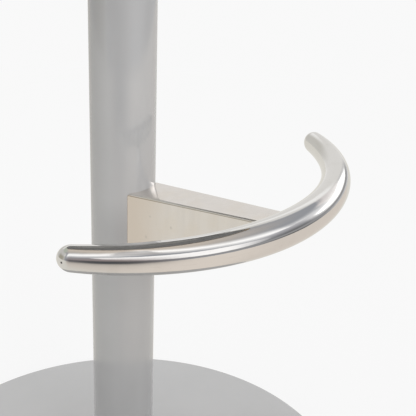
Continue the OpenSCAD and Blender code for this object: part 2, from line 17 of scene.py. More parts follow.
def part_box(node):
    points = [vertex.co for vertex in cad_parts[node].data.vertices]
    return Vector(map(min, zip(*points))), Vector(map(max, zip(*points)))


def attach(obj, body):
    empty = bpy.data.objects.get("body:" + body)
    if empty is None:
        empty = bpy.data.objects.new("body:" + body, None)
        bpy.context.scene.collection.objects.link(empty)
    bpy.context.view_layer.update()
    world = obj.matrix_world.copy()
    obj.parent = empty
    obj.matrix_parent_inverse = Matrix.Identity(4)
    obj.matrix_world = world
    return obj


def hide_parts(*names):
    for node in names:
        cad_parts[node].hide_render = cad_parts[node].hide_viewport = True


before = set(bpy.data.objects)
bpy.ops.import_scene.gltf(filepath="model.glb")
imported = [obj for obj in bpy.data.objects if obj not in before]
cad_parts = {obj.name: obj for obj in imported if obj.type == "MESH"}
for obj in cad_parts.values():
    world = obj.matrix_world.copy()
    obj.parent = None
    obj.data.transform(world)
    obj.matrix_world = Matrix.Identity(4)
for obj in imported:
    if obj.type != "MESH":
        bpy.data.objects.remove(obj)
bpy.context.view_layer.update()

LOG = logging.getLogger("stool")
MM = 0.001
DEGREES = 180 / math.pi
SHARP = 35.0
SOFT_SHARP = 60.0
CORNERS = ((-1, -1), (1, -1), (1, 1), (-1, 1))
Point = Sequence[float]
Colour = tuple[float, float, float]


class Slot(Enum):
    """The record's material slots."""

    PAINT = "painted_grey"
    POLISHED = "polished_steel"
    SATIN = "satin_steel"
    BRIGHT = "bright_rod"
    STEEL = "plain_steel"
    PLASTIC = "black_plastic"
    RUBBER = "black_rubber"
    PLYWOOD = "plywood"
    LEATHER = "charcoal_leather"
    LINING = "grey_lining"


class Body(Enum):
    """The bodies that new pieces ride on."""

    BASE = "base"
    SEAT = "seat"
    LEVER = "lever"


# Shader nodes


class Sock:
    """One output of a shader node. Operators on it add Math nodes to its tree."""

    def __init__(self, net: "Net", out: bpy.types.NodeSocket) -> None:
        """Keeps the tree and the socket."""
        self.net = net
        self.out = out

    def _with(self, kind: str, first: Any, second: Any) -> "Sock":
        """Adds one Math node.

        Args:
            kind: The Math node's operation.
            first: Its first value or link.
            second: Its second value or link.

        Returns:
            The Math node's output.
        """
        return self.net.add("ShaderNodeMath", {"operation": kind}, {0: first, 1: second})

    def __add__(self, other: Any) -> "Sock":
        """Sum of the two."""
        return self._with("ADD", self, other)

    def __radd__(self, other: Any) -> "Sock":
        """Sum of the two."""
        return self._with("ADD", other, self)

    def __sub__(self, other: Any) -> "Sock":
        """This less the other."""
        return self._with("SUBTRACT", self, other)

    def __rsub__(self, other: Any) -> "Sock":
        """The other less this."""
        return self._with("SUBTRACT", other, self)

    def __mul__(self, other: Any) -> "Sock":
        """Product of the two."""
        return self._with("MULTIPLY", self, other)

    def __rmul__(self, other: Any) -> "Sock":
        """Product of the two."""
        return self._with("MULTIPLY", other, self)

    def __truediv__(self, other: Any) -> "Sock":
        """This over the other."""
        return self._with("DIVIDE", self, other)

    def __rtruediv__(self, other: Any) -> "Sock":
        """The other over this."""
        return self._with("DIVIDE", other, self)

    def math(self, kind: str, other: Any = 0.0) -> "Sock":
        """A Math node of another kind on this value."""
        return self._with(kind, self, other)

    def ramp(self, low: float, high: float) -> "Sock":
        """Smooth step of this value.

        Args:
            low: Where the result is 0.
            high: Where the result is 1. It may lie under low.

        Returns:
            A value from 0 to 1.
        """
        lows, highs, ends = (low, high, (0.0, 1.0)) if low < high else (high, low, (1.0, 0.0))
        return self.net.add(
            "ShaderNodeMapRange",
            {"interpolation_type": "SMOOTHSTEP"},
            {"Value": self, "From Min": lows, "From Max": highs, "To Min": ends[0], "To Max": ends[1]},
        )

    def near(self, half: float, soft: float) -> "Sock":
        """1 where this value is within a half width of 0, falling to 0 over a soft edge."""
        return self.math("ABSOLUTE").ramp(half + soft, half - soft)


class Net:
    """A shader tree that is filled through one method."""

    def __init__(self, tree: bpy.types.NodeTree) -> None:
        """Clears the tree and keeps it."""
        self.tree = tree
        tree.nodes.clear()

    def add(
        self,
        kind: str,
        settings: dict[str, Any] | None = None,
        values: dict[Any, Any] | None = None,
        out: Any = 0,
    ) -> Sock:
        """Adds a node.

        Args:
            kind: The node's type.
            settings: Its own settings, which are set first. A ramp's stops are pairs of place, colour.
            values: A value or a link for each socket by name or number.
            out: The name or number of the output that is wanted.

        Returns:
            That output.
        """
        node = self.tree.nodes.new(kind)
        for name, value in (settings or {}).items():
            if name == "stops":
                ramp = node.color_ramp.elements
                while len(ramp) < len(value):
                    ramp.new(0.5)
                for stop, (place, colour) in zip(ramp, value):
                    stop.position = place
                    stop.color = (*colour, 1.0)
            else:
                setattr(node, name, value)
        for name, value in (values or {}).items():
            self.feed(node.inputs[name], value)
        return Sock(self, node.outputs[out] if node.outputs else None)

    def feed(self, socket: bpy.types.NodeSocket, value: Any) -> None:
        """Sets a socket to a value, or links it.

        Args:
            socket: The socket.
            value: A value, or the output that is linked to it. A colour may leave out its alpha.
        """
        if isinstance(value, Sock):
            self.tree.links.new(value.out, socket)
        elif socket.type == "RGBA" and len(value) == 3:
            socket.default_value = (*value, 1.0)
        else:
            socket.default_value = value

    def place(self) -> Sock:
        """Place on the piece in metres, in the stool's own frame."""
        return self.add("ShaderNodeTexCoord", out="Object")

    def axes(self, vector: Sock) -> tuple[Sock, Sock, Sock]:
        """Splits a vector.

        Args:
            vector: The vector.

        Returns:
            Its X, Y and Z.
        """
        split = self.add("ShaderNodeSeparateXYZ", {}, {0: vector})
        outs = split.out.node.outputs
        return Sock(self, outs[0]), Sock(self, outs[1]), Sock(self, outs[2])

    def scaled(self, vector: Sock, factors: Point) -> Sock:
        """A vector times a factor for each axis."""
        values = {0: vector, 1: tuple(factors)}
        return self.add("ShaderNodeVectorMath", {"operation": "MULTIPLY"}, values)

    def distance(self, vector: Sock, point: Point) -> Sock:
        """Distance from a point in metres."""
        values = {0: vector, 1: tuple(point)}
        return self.add("ShaderNodeVectorMath", {"operation": "DISTANCE"}, values, out="Value")

    def turn(self, x: Sock, y: Sock) -> Sock:
        """Turn of a direction about the upright axis in radians, from the front towards +X."""
        return x.math("ARCTAN2", -1.0 * y)

    def rays(self) -> tuple[Sock, Sock]:
        """Two values that are 1 for the camera's own rays and for glossy rays."""
        outs = self.add("ShaderNodeLightPath").out.node.outputs
        return Sock(self, outs["Is Camera Ray"]), Sock(self, outs["Is Glossy Ray"])

    def noise(self, vector: Sock, size: float, detail: float = 3.0, rough: float = 0.5) -> Sock:
        """Cloudy noise.

        Args:
            vector: Where it is read.
            size: Size of its blotches in metres.
            detail: Number of finer layers.
            rough: Share of each finer layer.

        Returns:
            A value about 0.5.
        """
        values = {"Vector": vector, "Scale": 1 / size, "Detail": detail, "Roughness": rough}
        return self.add("ShaderNodeTexNoise", {}, values)

    def cells(self, vector: Sock, size: float, feature: str = "F1", out: str = "Distance") -> Sock:
        """Cell noise with cells of the given size in metres."""
        values = {"Vector": vector, "Scale": 1 / size}
        return self.add("ShaderNodeTexVoronoi", {"feature": feature}, values, out=out)

    def blend(self, factor: Any, first: Any, second: Any, kind: str = "MIX") -> Sock:
        """Mixes two colours.

        Args:
            factor: Share of the second.
            first: The first colour.
            second: The second colour.
            kind: The Mix node's blend type.

        Returns:
            The colour.
        """
        settings = {"data_type": "RGBA", "blend_type": kind}
        return self.add("ShaderNodeMix", settings, {0: factor, 6: first, 7: second}, out=2)

    def bump(
        self, height: Sock, depth: float, strength: float = 1.0, under: Sock | None = None
    ) -> Sock:
        """A Bump node.

        Args:
            height: Height from 0 to 1.
            depth: Depth in metres that the height stands for.
            strength: Strength of the effect.
            under: A coarser bump below it.

        Returns:
            The normal.
        """
        values = {"Height": height, "Distance": depth, "Strength": strength}
        if under is not None:
            values["Normal"] = under
        return self.add("ShaderNodeBump", {}, values)


def principled(net: Net, values: dict[str, Any]) -> None:
    """Ends a material's tree with one Principled shader."""
    shader = net.add("ShaderNodeBsdfPrincipled", {}, values)
    net.add("ShaderNodeOutputMaterial", {}, {"Surface": shader})


# Finishes


@dataclass(frozen=True)
class Finish:
    """A surface finish. Each kind of finish fills its own node tree."""

    slot: Slot
    colour: Colour

    def shade(self, *factors: float) -> Colour:
        """The finish's colour times one factor, or one for each of red, green and blue."""
        share = factors if len(factors) == 3 else factors * 3
        return tuple(min(1.0, c * k) for c, k in zip(self.colour, share))

    def material(self) -> bpy.types.Material:
        """Makes the finish's material once.

        Returns:
            The material, the same one on each call.
        """
        found = bpy.data.materials.get(self.slot.value + "_finish")
        if found is None:
            found = bpy.data.materials.new(self.slot.value + "_finish")
            found.use_nodes = True
            self.fill(Net(found.node_tree))
        return found

    def fill(self, net: Net) -> None:
        """Fills the node tree."""
        raise NotImplementedError


@dataclass(frozen=True)
class Paint(Finish):
    """Semi-gloss sprayed paint with a faint orange peel and a little dust, under a clear coat."""

    peel: float = 0.0022
    rough: float = 0.46
    coat_rough: float = 0.09
    coat_ior: float = 1.9
    dust_colour: Colour = (0.62, 0.61, 0.58)

    def fill(self, net: Net) -> None:
        """Lays cloudy grey paint with dust and orange peel under a clear coat.

        Args:
            net: The material's shader tree.
        """
        place = net.place()
        cloud = net.noise(place, 0.09, 4.0)
        dust = net.noise(place, 0.0025, 2.0).ramp(0.62, 0.80)
        tone = net.blend(cloud.ramp(0.3, 0.7), self.shade(0.97), self.shade(1.03))
        peel = net.noise(place, self.peel, 1.0)
        principled(
            net,
            {
                "Base Color": net.blend(dust * 0.08, tone, self.dust_colour),
                "Metallic": 0.05,
                "Roughness": self.rough + 0.06 * cloud + 0.10 * dust,
                "Coat Weight": 1.0,
                "Coat Roughness": self.coat_rough,
                "Coat IOR": self.coat_ior,
                "Normal": net.bump(peel, 0.00001, 0.4),
            },
        )


@dataclass(frozen=True)
class Polish(Finish):
    """Mirror polished steel with slight waves, polishing lines along a bend, smears and small pits
    darkened with painted shade.

    Places and sizes are in metres. The lines run round an upright axis at x = 0, y = bend_y.
    """

    pits: tuple[tuple[float, float, float], ...] = ()
    pit_edge: tuple[float, float] = (0.0011, 0.0004)
    # Painted shade: the dark colour laid in the pits' hollows.
    pit_shade_colour: Colour = (0.06, 0.055, 0.05)
    bend_y: float = 0.008
    line_w: float = 0.0011
    line_stretch: float = 0.012
    depth: float = 0.00030

    def fill(self, net: Net) -> None:
        """Lays mirror steel with waves, polishing lines, smears and the named pits, dented and darkened
        with painted shade.

        Args:
            net: The material's shader tree.
        """
        place = net.place()
        wave = net.noise(place, 0.030, 2.0)
        ripple = net.noise(place, 0.0055, 2.0)
        x, y, z = net.axes(place)
        back = y - self.bend_y
        bend_r = (x * x + back * back).math("SQRT")
        turn = net.turn(x, back)
        along = net.add("ShaderNodeCombineXYZ", {}, {0: bend_r, 1: z, 2: turn * self.line_stretch})
        line = net.noise(along, self.line_w, 3.0, 0.65)
        scuff = line.ramp(0.54, 0.76)
        smear = net.noise(place, 0.022, 4.0, 0.6).ramp(0.46, 0.72)
        dark: Any = 0.0
        for pit in self.pits:
            dark = dark + net.distance(place, pit).ramp(*self.pit_edge)
        tone = net.blend(scuff * 0.22 + smear * 0.22, self.colour, self.shade(0.82, 0.80, 0.77))
        normal = net.bump(wave + 0.17 * ripple + 0.012 * line, self.depth, 0.5)
        if self.pits:
            # The pits' dark colour is painted shade in their hollows.
            tone = net.blend(dark, tone, self.pit_shade_colour)
            normal = net.bump(1.0 - dark, 0.0006, 1.0, under=normal)
        principled(
            net,
            {
                "Base Color": tone,
                "Metallic": 1.0,
                "Roughness": 0.035 + 0.10 * scuff + 0.04 * smear,
                "Normal": normal,
            },
        )


@dataclass(frozen=True)
class Satin(Finish):
    """Satin sheet steel with soft upright streaks, small stains and a warm tint near its weld.

    Places and sizes are in metres. The weld is round the stool's own axis.
    """

    stains: tuple[tuple[float, float, float, float], ...] = ()
    stain_share: float = 0.4
    weld_reach: tuple[float, float] = (0.075, 0.029)
    weld_tint: Colour = (0.90, 0.84, 0.78)

    def fill(self, net: Net) -> None:
        """Lays satin steel with streaks, specks, the named stains and the tint of the weld.

        Args:
            net: The material's shader tree.
        """
        place = net.place()
        streak = net.noise(net.scaled(place, (1.0, 1.0, 0.05)), 0.007, 3.0, 0.6)
        cloud = net.noise(place, 0.022, 4.0, 0.6)
        speck = net.noise(place, 0.0022, 2.0).ramp(0.68, 0.82)
        stain: Any = 0.0
        for x, y, z, radius in self.stains:
            near = net.distance(place, (x, y, z)) / radius
            stain = stain + (near + 0.9 * net.noise(place, radius * 0.6)).ramp(1.3, 0.7)
        x, y, _ = net.axes(place)
        up = net.axes(net.add("ShaderNodeTexCoord", out="Normal"))[2]
        weld = (x * x + y * y).math("SQRT").ramp(*self.weld_reach) * up.ramp(0.7, 0.2)
        tone = net.blend(streak.ramp(0.3, 0.7), self.shade(0.98), self.shade(1.02))
        tone = net.blend(cloud.ramp(0.4, 0.7) * 0.5, tone, self.shade(0.99, 0.96, 0.90))
        tone = net.blend(weld * 0.9, tone, self.shade(*self.weld_tint))
        mark = speck * 0.18
        if self.stains:
            mark = mark + stain * self.stain_share
        tone = net.blend(mark, tone, self.shade(0.70, 0.69, 0.66))
        principled(
            net,
            {
                "Base Color": tone,
                "Metallic": 1.0,
                "Roughness": 0.06 + 0.07 * cloud + 0.03 * streak,
                "Normal": net.bump(streak, 0.00004, 0.2),
            },
        )


@dataclass(frozen=True)
class Machined(Finish):
    """Turned or ground steel with fine rings round the upright axis."""

    rough: float = 0.25
    pitch: float = 0.0005

    def fill(self, net: Net) -> None:
        """Lays bare steel with fine rings and a slight cloud.

        Args:
            net: The material's shader tree.
        """
        place = net.place()
        rings = net.noise(net.scaled(place, (0.02, 0.02, 1.0)), self.pitch, 2.0)
        cloud = net.noise(place, 0.012, 3.0)
        principled(
            net,
            {
                "Base Color": net.blend(cloud.ramp(0.3, 0.7), self.shade(0.93), self.shade(1.03)),
                "Metallic": 1.0,
                "Roughness": self.rough * (0.75 + 0.5 * cloud),
                "Normal": net.bump(rings, 0.00001, 0.4),
            },
        )


@dataclass(frozen=True)
class Moulded(Finish):
    """Moulded plastic or rubber with a fine grain, a slight cloud and a little dust."""

    rough: float = 0.5
    grain: float = 0.0006
    depth: float = 0.00003
    shine: float = 0.5

    def fill(self, net: Net) -> None:
        """Lays grained plastic or rubber with a little dust.

        Args:
            net: The material's shader tree.
        """
        place = net.place()
        grain = net.noise(place, self.grain, 2.0)
        cloud = net.noise(place, 0.015, 3.0)
        dust = net.noise(place, 0.004, 3.0).ramp(0.58, 0.80)
        pale = tuple(min(1.0, c * 1.6 + 0.02) for c in self.colour)
        principled(
            net,
            {
                "Base Color": net.blend(0.35 * dust + 0.15 * cloud, self.colour, pale),
                "Roughness": self.rough + 0.12 * cloud,
                "Specular IOR Level": self.shine,
                "Normal": net.bump(grain, self.depth, 0.8),
            },
        )


@dataclass(frozen=True)
class Ply(Finish):
    """Raw plywood: grain on the faces and thin plies on the edges."""

    ply: float = 0.0024

    def fill(self, net: Net) -> None:
        """Lays wood grain with thin dark glue lines between the plies.

        Args:
            net: The material's shader tree.
        """
        place = net.place()
        grain = net.noise(net.scaled(place, (0.06, 1.0, 0.3)), 0.004, 4.0, 0.6)
        layer = net.axes(place)[2] / self.ply
        stripe = (layer.math("FRACT") - 0.5).math("ABSOLUTE").ramp(0.35, 0.5)
        dark = self.shade(0.72, 0.66, 0.58)
        tone = net.blend(grain.ramp(0.35, 0.7), self.colour, dark)
        principled(
            net,
            {
                "Base Color": net.blend(stripe * 0.35, tone, dark),
                "Roughness": 0.62 + 0.1 * grain,
                "Normal": net.bump(grain, 0.0001, 0.5),
            },
        )


@dataclass(frozen=True)
class Leather(Finish):
    """Fine grained leather with shallow creases and a slight sheen on its high spots."""

    cell: float = 0.0011

    def fill(self, net: Net) -> None:
        """Lays pebbled leather with painted shade in the valleys of its grain, creases and a slight
        cloud.

        Args:
            net: The material's shader tree.
        """
        place = net.place()
        warp = net.noise(place, 0.004, 2.0)
        pebble = net.cells(place, self.cell, "DISTANCE_TO_EDGE").ramp(0.0, 0.22)
        coarse = net.cells(place, self.cell * 3.1).ramp(0.0, 0.9)
        crease = net.noise(net.scaled(place, (1.0, 1.0, 2.5)), 0.012, 4.0, 0.62)
        fold = (crease - 0.5).math("ABSOLUTE").ramp(0.0, 0.035)
        cloud = net.noise(place, 0.05, 3.0)
        tone = net.blend(cloud.ramp(0.3, 0.7) * 0.7 + 0.3 * warp, self.shade(0.84), self.shade(1.16))
        # Painted shade: the valleys between the pebbles are darkened.
        tone = net.blend((1.0 - pebble) * 0.55, tone, self.shade(0.45))
        height = 0.55 * pebble + 0.2 * coarse + 0.25 * fold
        principled(
            net,
            {
                "Base Color": tone,
                "Roughness": 0.52 - 0.12 * pebble + 0.10 * cloud,
                "Specular IOR Level": 0.45,
                "Normal": net.bump(height, 0.00016, 0.75),
            },
        )


@dataclass(frozen=True)
class Fibre(Finish):
    """Pressed fibre lining with short crossing fibres."""

    def fill(self, net: Net) -> None:
        """Lays crossing fibres with the small dots that press them together.

        Args:
            net: The material's shader tree.
        """
        place = net.place()
        one = net.noise(net.scaled(place, (1.0, 0.15, 1.0)), 0.0012, 3.0)
        two = net.noise(net.scaled(place, (0.15, 1.0, 1.0)), 0.0014, 3.0)
        dots = net.cells(place, 0.0022).ramp(0.12, 0.30)
        principled(
            net,
            {
                "Base Color": net.blend((one + two).ramp(0.8, 1.2), self.shade(0.82), self.shade(1.15)),
                "Roughness": 0.9 - 0.1 * one,
                "Normal": net.bump(dots * (one + two), 0.0002, 0.7),
            },
        )


FINISHES: dict[Slot, Finish] = {
    Slot.PAINT: Paint(Slot.PAINT, (0.430, 0.428, 0.430)),
    Slot.POLISHED: Polish(Slot.POLISHED, (0.80, 0.79, 0.77), pits=((-0.17034, -0.0962, 0.3552),)),
    Slot.SATIN: Satin(
        Slot.SATIN,
        (0.815, 0.78, 0.745),
        stains=(
            (-0.0182, -0.0468, 0.3240, 0.0016),
            (-0.0183, -0.0426, 0.3036, 0.0024),
            (-0.0175, -0.0693, 0.3200, 0.0020),
        ),
    ),
    Slot.BRIGHT: Machined(Slot.BRIGHT, (0.80, 0.80, 0.81), rough=0.10, pitch=0.0003),
    Slot.STEEL: Machined(Slot.STEEL, (0.56, 0.57, 0.58), rough=0.32),
    Slot.PLASTIC: Moulded(Slot.PLASTIC, (0.035, 0.035, 0.037), rough=0.48),
    Slot.RUBBER: Moulded(Slot.RUBBER, (0.03, 0.03, 0.03), rough=0.78, grain=0.0009, shine=0.3),
    Slot.PLYWOOD: Ply(Slot.PLYWOOD, (0.62, 0.46, 0.29)),
    Slot.LEATHER: Leather(Slot.LEATHER, (0.05, 0.05, 0.055)),
    Slot.LINING: Fibre(Slot.LINING, (0.40, 0.40, 0.41)),
}


# Mesh making


def new_piece(
    name: str, points: np.ndarray, faces: Iterable[Sequence[int]], sharp: float = SHARP
) -> bpy.types.Object:
    """Makes a mesh object in the scene.

    Args:
        name: The object's name.
        points: Its vertices in metres. Those at one place are joined.
        faces: Its faces as vertex numbers.
        sharp: Edges over this angle in degrees stay sharp.

    Returns:
        The object.
    """
    mesh = bpy.data.meshes.new(name)
    mesh.from_pydata([tuple(p) for p in np.asarray(points, float)], [], [tuple(f) for f in faces])
    work = bmesh.new()
    work.from_mesh(mesh)
    bmesh.ops.remove_doubles(work, verts=work.verts, dist=1e-7)
    bmesh.ops.recalc_face_normals(work, faces=work.faces)
    work.to_mesh(mesh)
    work.free()
    mesh.validate()
    smooth(mesh, sharp)
    made = bpy.data.objects.new(name, mesh)
    bpy.context.scene.collection.objects.link(made)
    return made


def smooth(mesh: bpy.types.Mesh, sharp: float) -> None:
    """Shades a mesh smooth, with edges over the given angle in degrees left sharp."""
    mesh.shade_smooth()
    mesh.set_sharp_from_angle(angle=math.radians(sharp))


def strips(rows: int, count: int, ring: bool = False, first: int = 0) -> list[list[int]]:
    """Faces between loops that follow each other.

    Args:
        rows: Number of loops.
        count: Number of vertices in each.
        ring: Whether the last loop is joined to the first.
        first: Number of the first vertex.

    Returns:
        The faces as vertex numbers.
    """
    faces = []
    for row in range(rows if ring else rows - 1):
        here = first + row * count
        there = first + (row + 1) % rows * count
        for k in range(count):
            after = (k + 1) % count
            faces.append([here + k, here + after, there + after, there + k])
    return faces


def quarter(steps: int, first: int = 0) -> list[float]:
    """Angles from 0 to a quarter turn in equal steps, from the given step on."""
    return [math.pi / 2 * k / steps for k in range(first, steps + 1)]


def loft(
    name: str, loops: Sequence[np.ndarray], ends: str = "flat", sharp: float = SHARP
) -> bpy.types.Object:
    """Skins closed loops of equal length, each joined to the next.

    Args:
        name: The object's name.
        loops: The loops, as arrays of points in millimetres.
        ends: "flat" closes both ends with a face, "ring" joins the last loop to the first, and
            "open" leaves the ends, which suits loops that shrink to a point.
        sharp: Edges over this angle in degrees stay sharp.

    Returns:
        The object.
    """
    count = len(loops[0])
    rows = len(loops)
    faces = strips(rows, count, ends == "ring")
    if ends == "flat":
        faces.append(list(range(count)))
        faces.append(list(range((rows - 1) * count, rows * count)))
    return new_piece(name, np.concatenate(loops) * MM, faces, sharp)


def rounded(corners: Sequence[tuple[float, float, float]], steps: int = 5) -> list[tuple[float, float]]:
    """Rounds the corners of a closed outline.

    Args:
        corners: Points of the outline as (u, v, radius). A radius of 0 keeps the corner.
        steps: Number of steps in each rounded corner.

    Returns:
        The outline's points.
    """
    out: list[tuple[float, float]] = []
    count = len(corners)
    for i, (u, v, radius) in enumerate(corners):
        here = Vector((u, v))
        if radius <= 0:
            out.append((u, v))
            continue
        before = (Vector(corners[i - 1][:2]) - here).normalized()
        after = (Vector(corners[(i + 1) % count][:2]) - here).normalized()
        half = before.angle(after) / 2
        reach = radius / math.tan(half)
        centre = here + (before + after).normalized() * (radius / math.sin(half))
        start, end = here + before * reach - centre, here + after * reach - centre
        turn = start.angle_signed(end)
        for k in range(steps + 1):
            spin = Matrix.Rotation(-turn * k / steps, 2)
            out.append(tuple(centre + spin @ start))
    return out


def circle(radius: float, height: float, sides: int) -> np.ndarray:
    """Points of a level circle about the upright axis.

    Args:
        radius: Its radius.
        height: Its height.
        sides: Number of its points.

    Returns:
        The points, from +X towards +Y.
    """
    turns = 2 * math.pi * np.arange(sides) / sides
    heights = np.full(sides, float(height))
    return np.stack([radius * np.cos(turns), radius * np.sin(turns), heights], axis=1)


def lathe(
    name: str, outline: Sequence[tuple[float, float]], sides: int = 192, sharp: float = SHARP
) -> bpy.types.Object:
    """Turns an outline round the upright axis.

    Args:
        name: The object's name.
        outline: Points (radius, height) in millimetres. It closes on itself, or on the axis where
            its first and last points lie there.
        sides: Number of sides.
        sharp: Edges over this angle in degrees stay sharp.

    Returns:
        The object.
    """
    on_axis = outline[0][0] < 1e-6 and outline[-1][0] < 1e-6
    loops = [circle(radius, height, sides) for radius, height in outline]
    return loft(name, loops, "open" if on_axis else "ring", sharp)


def plug(name: str, radius: float, low: float, high: float, sides: int = 32) -> bpy.types.Object:
    """Makes an upright cylinder between two heights in millimetres, to cut with."""
    return lathe(name, [(0.0, low), (radius, low), (radius, high), (0.0, high)], sides)


def tube(name: str, path: np.ndarray, radius: float, sides: int) -> bpy.types.Object:
    """Sweeps a circle along a path in the plane y = 0, with flat ends.

    Args:
        name: The object's name.
        path: Points in millimetres.
        radius: The circle's radius in millimetres.
        sides: Number of sides.

    Returns:
        The object.
    """
    along = np.gradient(path, axis=0)
    along /= np.linalg.norm(along, axis=1)[:, None]
    side = np.array([0.0, 1.0, 0.0])
    around = circle(radius, 0.0, sides)
    loops = []
    for centre, ahead in zip(path, along):
        loops.append(centre + around[:, :1] * side + around[:, 1:2] * np.cross(ahead, side))
    return loft(name, loops, "flat", 50.0)


def box_piece(name: str, low: Point, high: Point) -> bpy.types.Object:
    """Makes a box between two corners in millimetres."""
    corners = [(low[0], low[1]), (high[0], low[1]), (high[0], high[1]), (low[0], high[1])]
    return loft(name, [np.array([(x, y, z) for x, y in corners]) for z in (low[2], high[2])])


def bake(piece: bpy.types.Object) -> None:
    """Applies a piece's modifiers.

    Args:
        piece: The piece, whose mesh is replaced.
    """
    graph = bpy.context.evaluated_depsgraph_get()
    mesh = bpy.data.meshes.new_from_object(piece.evaluated_get(graph))
    piece.modifiers.clear()
    piece.data = mesh


def combine(
    piece: bpy.types.Object, tools: Sequence[bpy.types.Object], how: str, sharp: float = SHARP
) -> None:
    """Cuts tool shapes out of a mesh or joins them to it, and removes the tools.

    Args:
        piece: The mesh that changes.
        tools: The shapes.
        how: "DIFFERENCE" to cut them out and "UNION" to join them.
        sharp: Edges over this angle in degrees stay sharp.
    """
    for tool in tools:
        step = piece.modifiers.new("combine", "BOOLEAN")
        step.operation = how
        step.solver = "EXACT"
        step.object = tool
    bake(piece)
    for tool in tools:
        bpy.data.objects.remove(tool)
    smooth(piece.data, sharp)


def turned(piece: bpy.types.Object, matrix: Matrix) -> bpy.types.Object:
    """Moves a piece's own vertices by a matrix in metres, and returns the piece."""
    piece.data.transform(matrix)
    return piece


def crosswise(x: float, height: float) -> Matrix:
    """Lays what stands on the upright axis along Y, at a place in millimetres."""
    return Matrix.Translation(Vector((x, 0.0, height)) * MM) @ Matrix.Rotation(math.pi / 2, 4, "X")


def swell(
    piece: bpy.types.Object,
    voxel: float,
    held: Callable[[Vector], bool],
    cap: float,
    pressure: float = 4.0,
    steps: int = 20,
) -> None:
    """Blows a closed cushion up as cloth, with part of it held, and leaves the result in its mesh.

    Args:
        piece: The cushion, which gets an even mesh first.
        voxel: Size of the even mesh's cells in metres.
        held: Tells whether a vertex stays where it is.
        cap: How far a vertex may move in metres.
        pressure: Pressure inside.
        steps: Number of frames that the cloth runs for.
    """
    even = piece.modifiers.new("even", "REMESH")
    even.mode = "VOXEL"
    even.voxel_size = voxel
    bake(piece)
    start = np.array([v.co[:] for v in piece.data.vertices])
    group = piece.vertex_groups.new(name="held")
    group.add([v.index for v in piece.data.vertices if held(v.co)], 1.0, "REPLACE")
    cloth = piece.modifiers.new("swell", "CLOTH")
    cloth.settings.quality = 5
    cloth.settings.vertex_group_mass = "held"
    cloth.settings.use_pressure = True
    cloth.settings.uniform_pressure_force = pressure
    cloth.settings.effector_weights.gravity = 0.0
    cloth.point_cache.frame_end = steps
    for step in range(1, steps + 1):
        bpy.context.scene.frame_set(step)
    graph = bpy.context.evaluated_depsgraph_get()
    blown = piece.evaluated_get(graph).to_mesh()
    end = np.array([v.co[:] for v in blown.vertices])
    piece.evaluated_get(graph).to_mesh_clear()
    piece.modifiers.clear()
    bpy.context.scene.frame_set(1)
    move = end - start
    reach = np.linalg.norm(move, axis=1)[:, None]
    end = start + move * np.minimum(1.0, cap / np.maximum(reach, 1e-9))
    piece.data.vertices.foreach_set("co", end.ravel())
    piece.vertex_groups.clear()
    finer = piece.modifiers.new("finer", "SUBSURF")
    finer.levels = 1
    bake(piece)
    smooth(piece.data, SOFT_SHARP)


def round_rect(width: float, depth: float, radius: float, steps: int = 6) -> list[tuple[float, float]]:
    """Outline of a rectangle about the origin with rounded corners, in millimetres."""
    return rounded([(x * width / 2, y * depth / 2, radius) for x, y in CORNERS], steps)


@dataclass
class Assembly:
    """A group of pieces on one body."""

    body: Body = Body.BASE
    made: list[bpy.types.Object] = field(default_factory=list)

    def finish(self, piece: bpy.types.Object, slot: Slot, *nodes: str) -> bpy.types.Object:
        """Dresses a new piece, puts it on its body and hides the CAD nodes that it stands for.

        Args:
            piece: The piece.
            slot: Its material slot.
            nodes: The CAD nodes that it replaces.

        Returns:
            The piece.
        """
        piece.data.materials.clear()
        piece.data.materials.append(FINISHES[slot].material())
        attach(piece, self.body.value)
        if nodes:
            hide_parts(*nodes)
        self.made.append(piece)
        LOG.info("%s: %d faces, %s", piece.name, len(piece.data.polygons), slot.value)
        return piece

    def dress(self, slot: Slot, *nodes: str) -> None:
        """Gives CAD nodes that stay a finish of their own.

        Args:
            slot: The material slot whose finish they get.
            nodes: Their names.
        """
        for name in nodes:
            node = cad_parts[name]
            if not node.material_slots:
                node.data.materials.append(None)
            for holder in node.material_slots:
                holder.material = FINISHES[slot].material()
            LOG.info("%s: CAD node, %s", name, slot.value)


def span(node: str) -> tuple[Vector, Vector]:
    """Lowest and highest corner of a CAD node at rest, in millimetres."""
    low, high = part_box(node)
    return Vector(low) / MM, Vector(high) / MM


# The stool


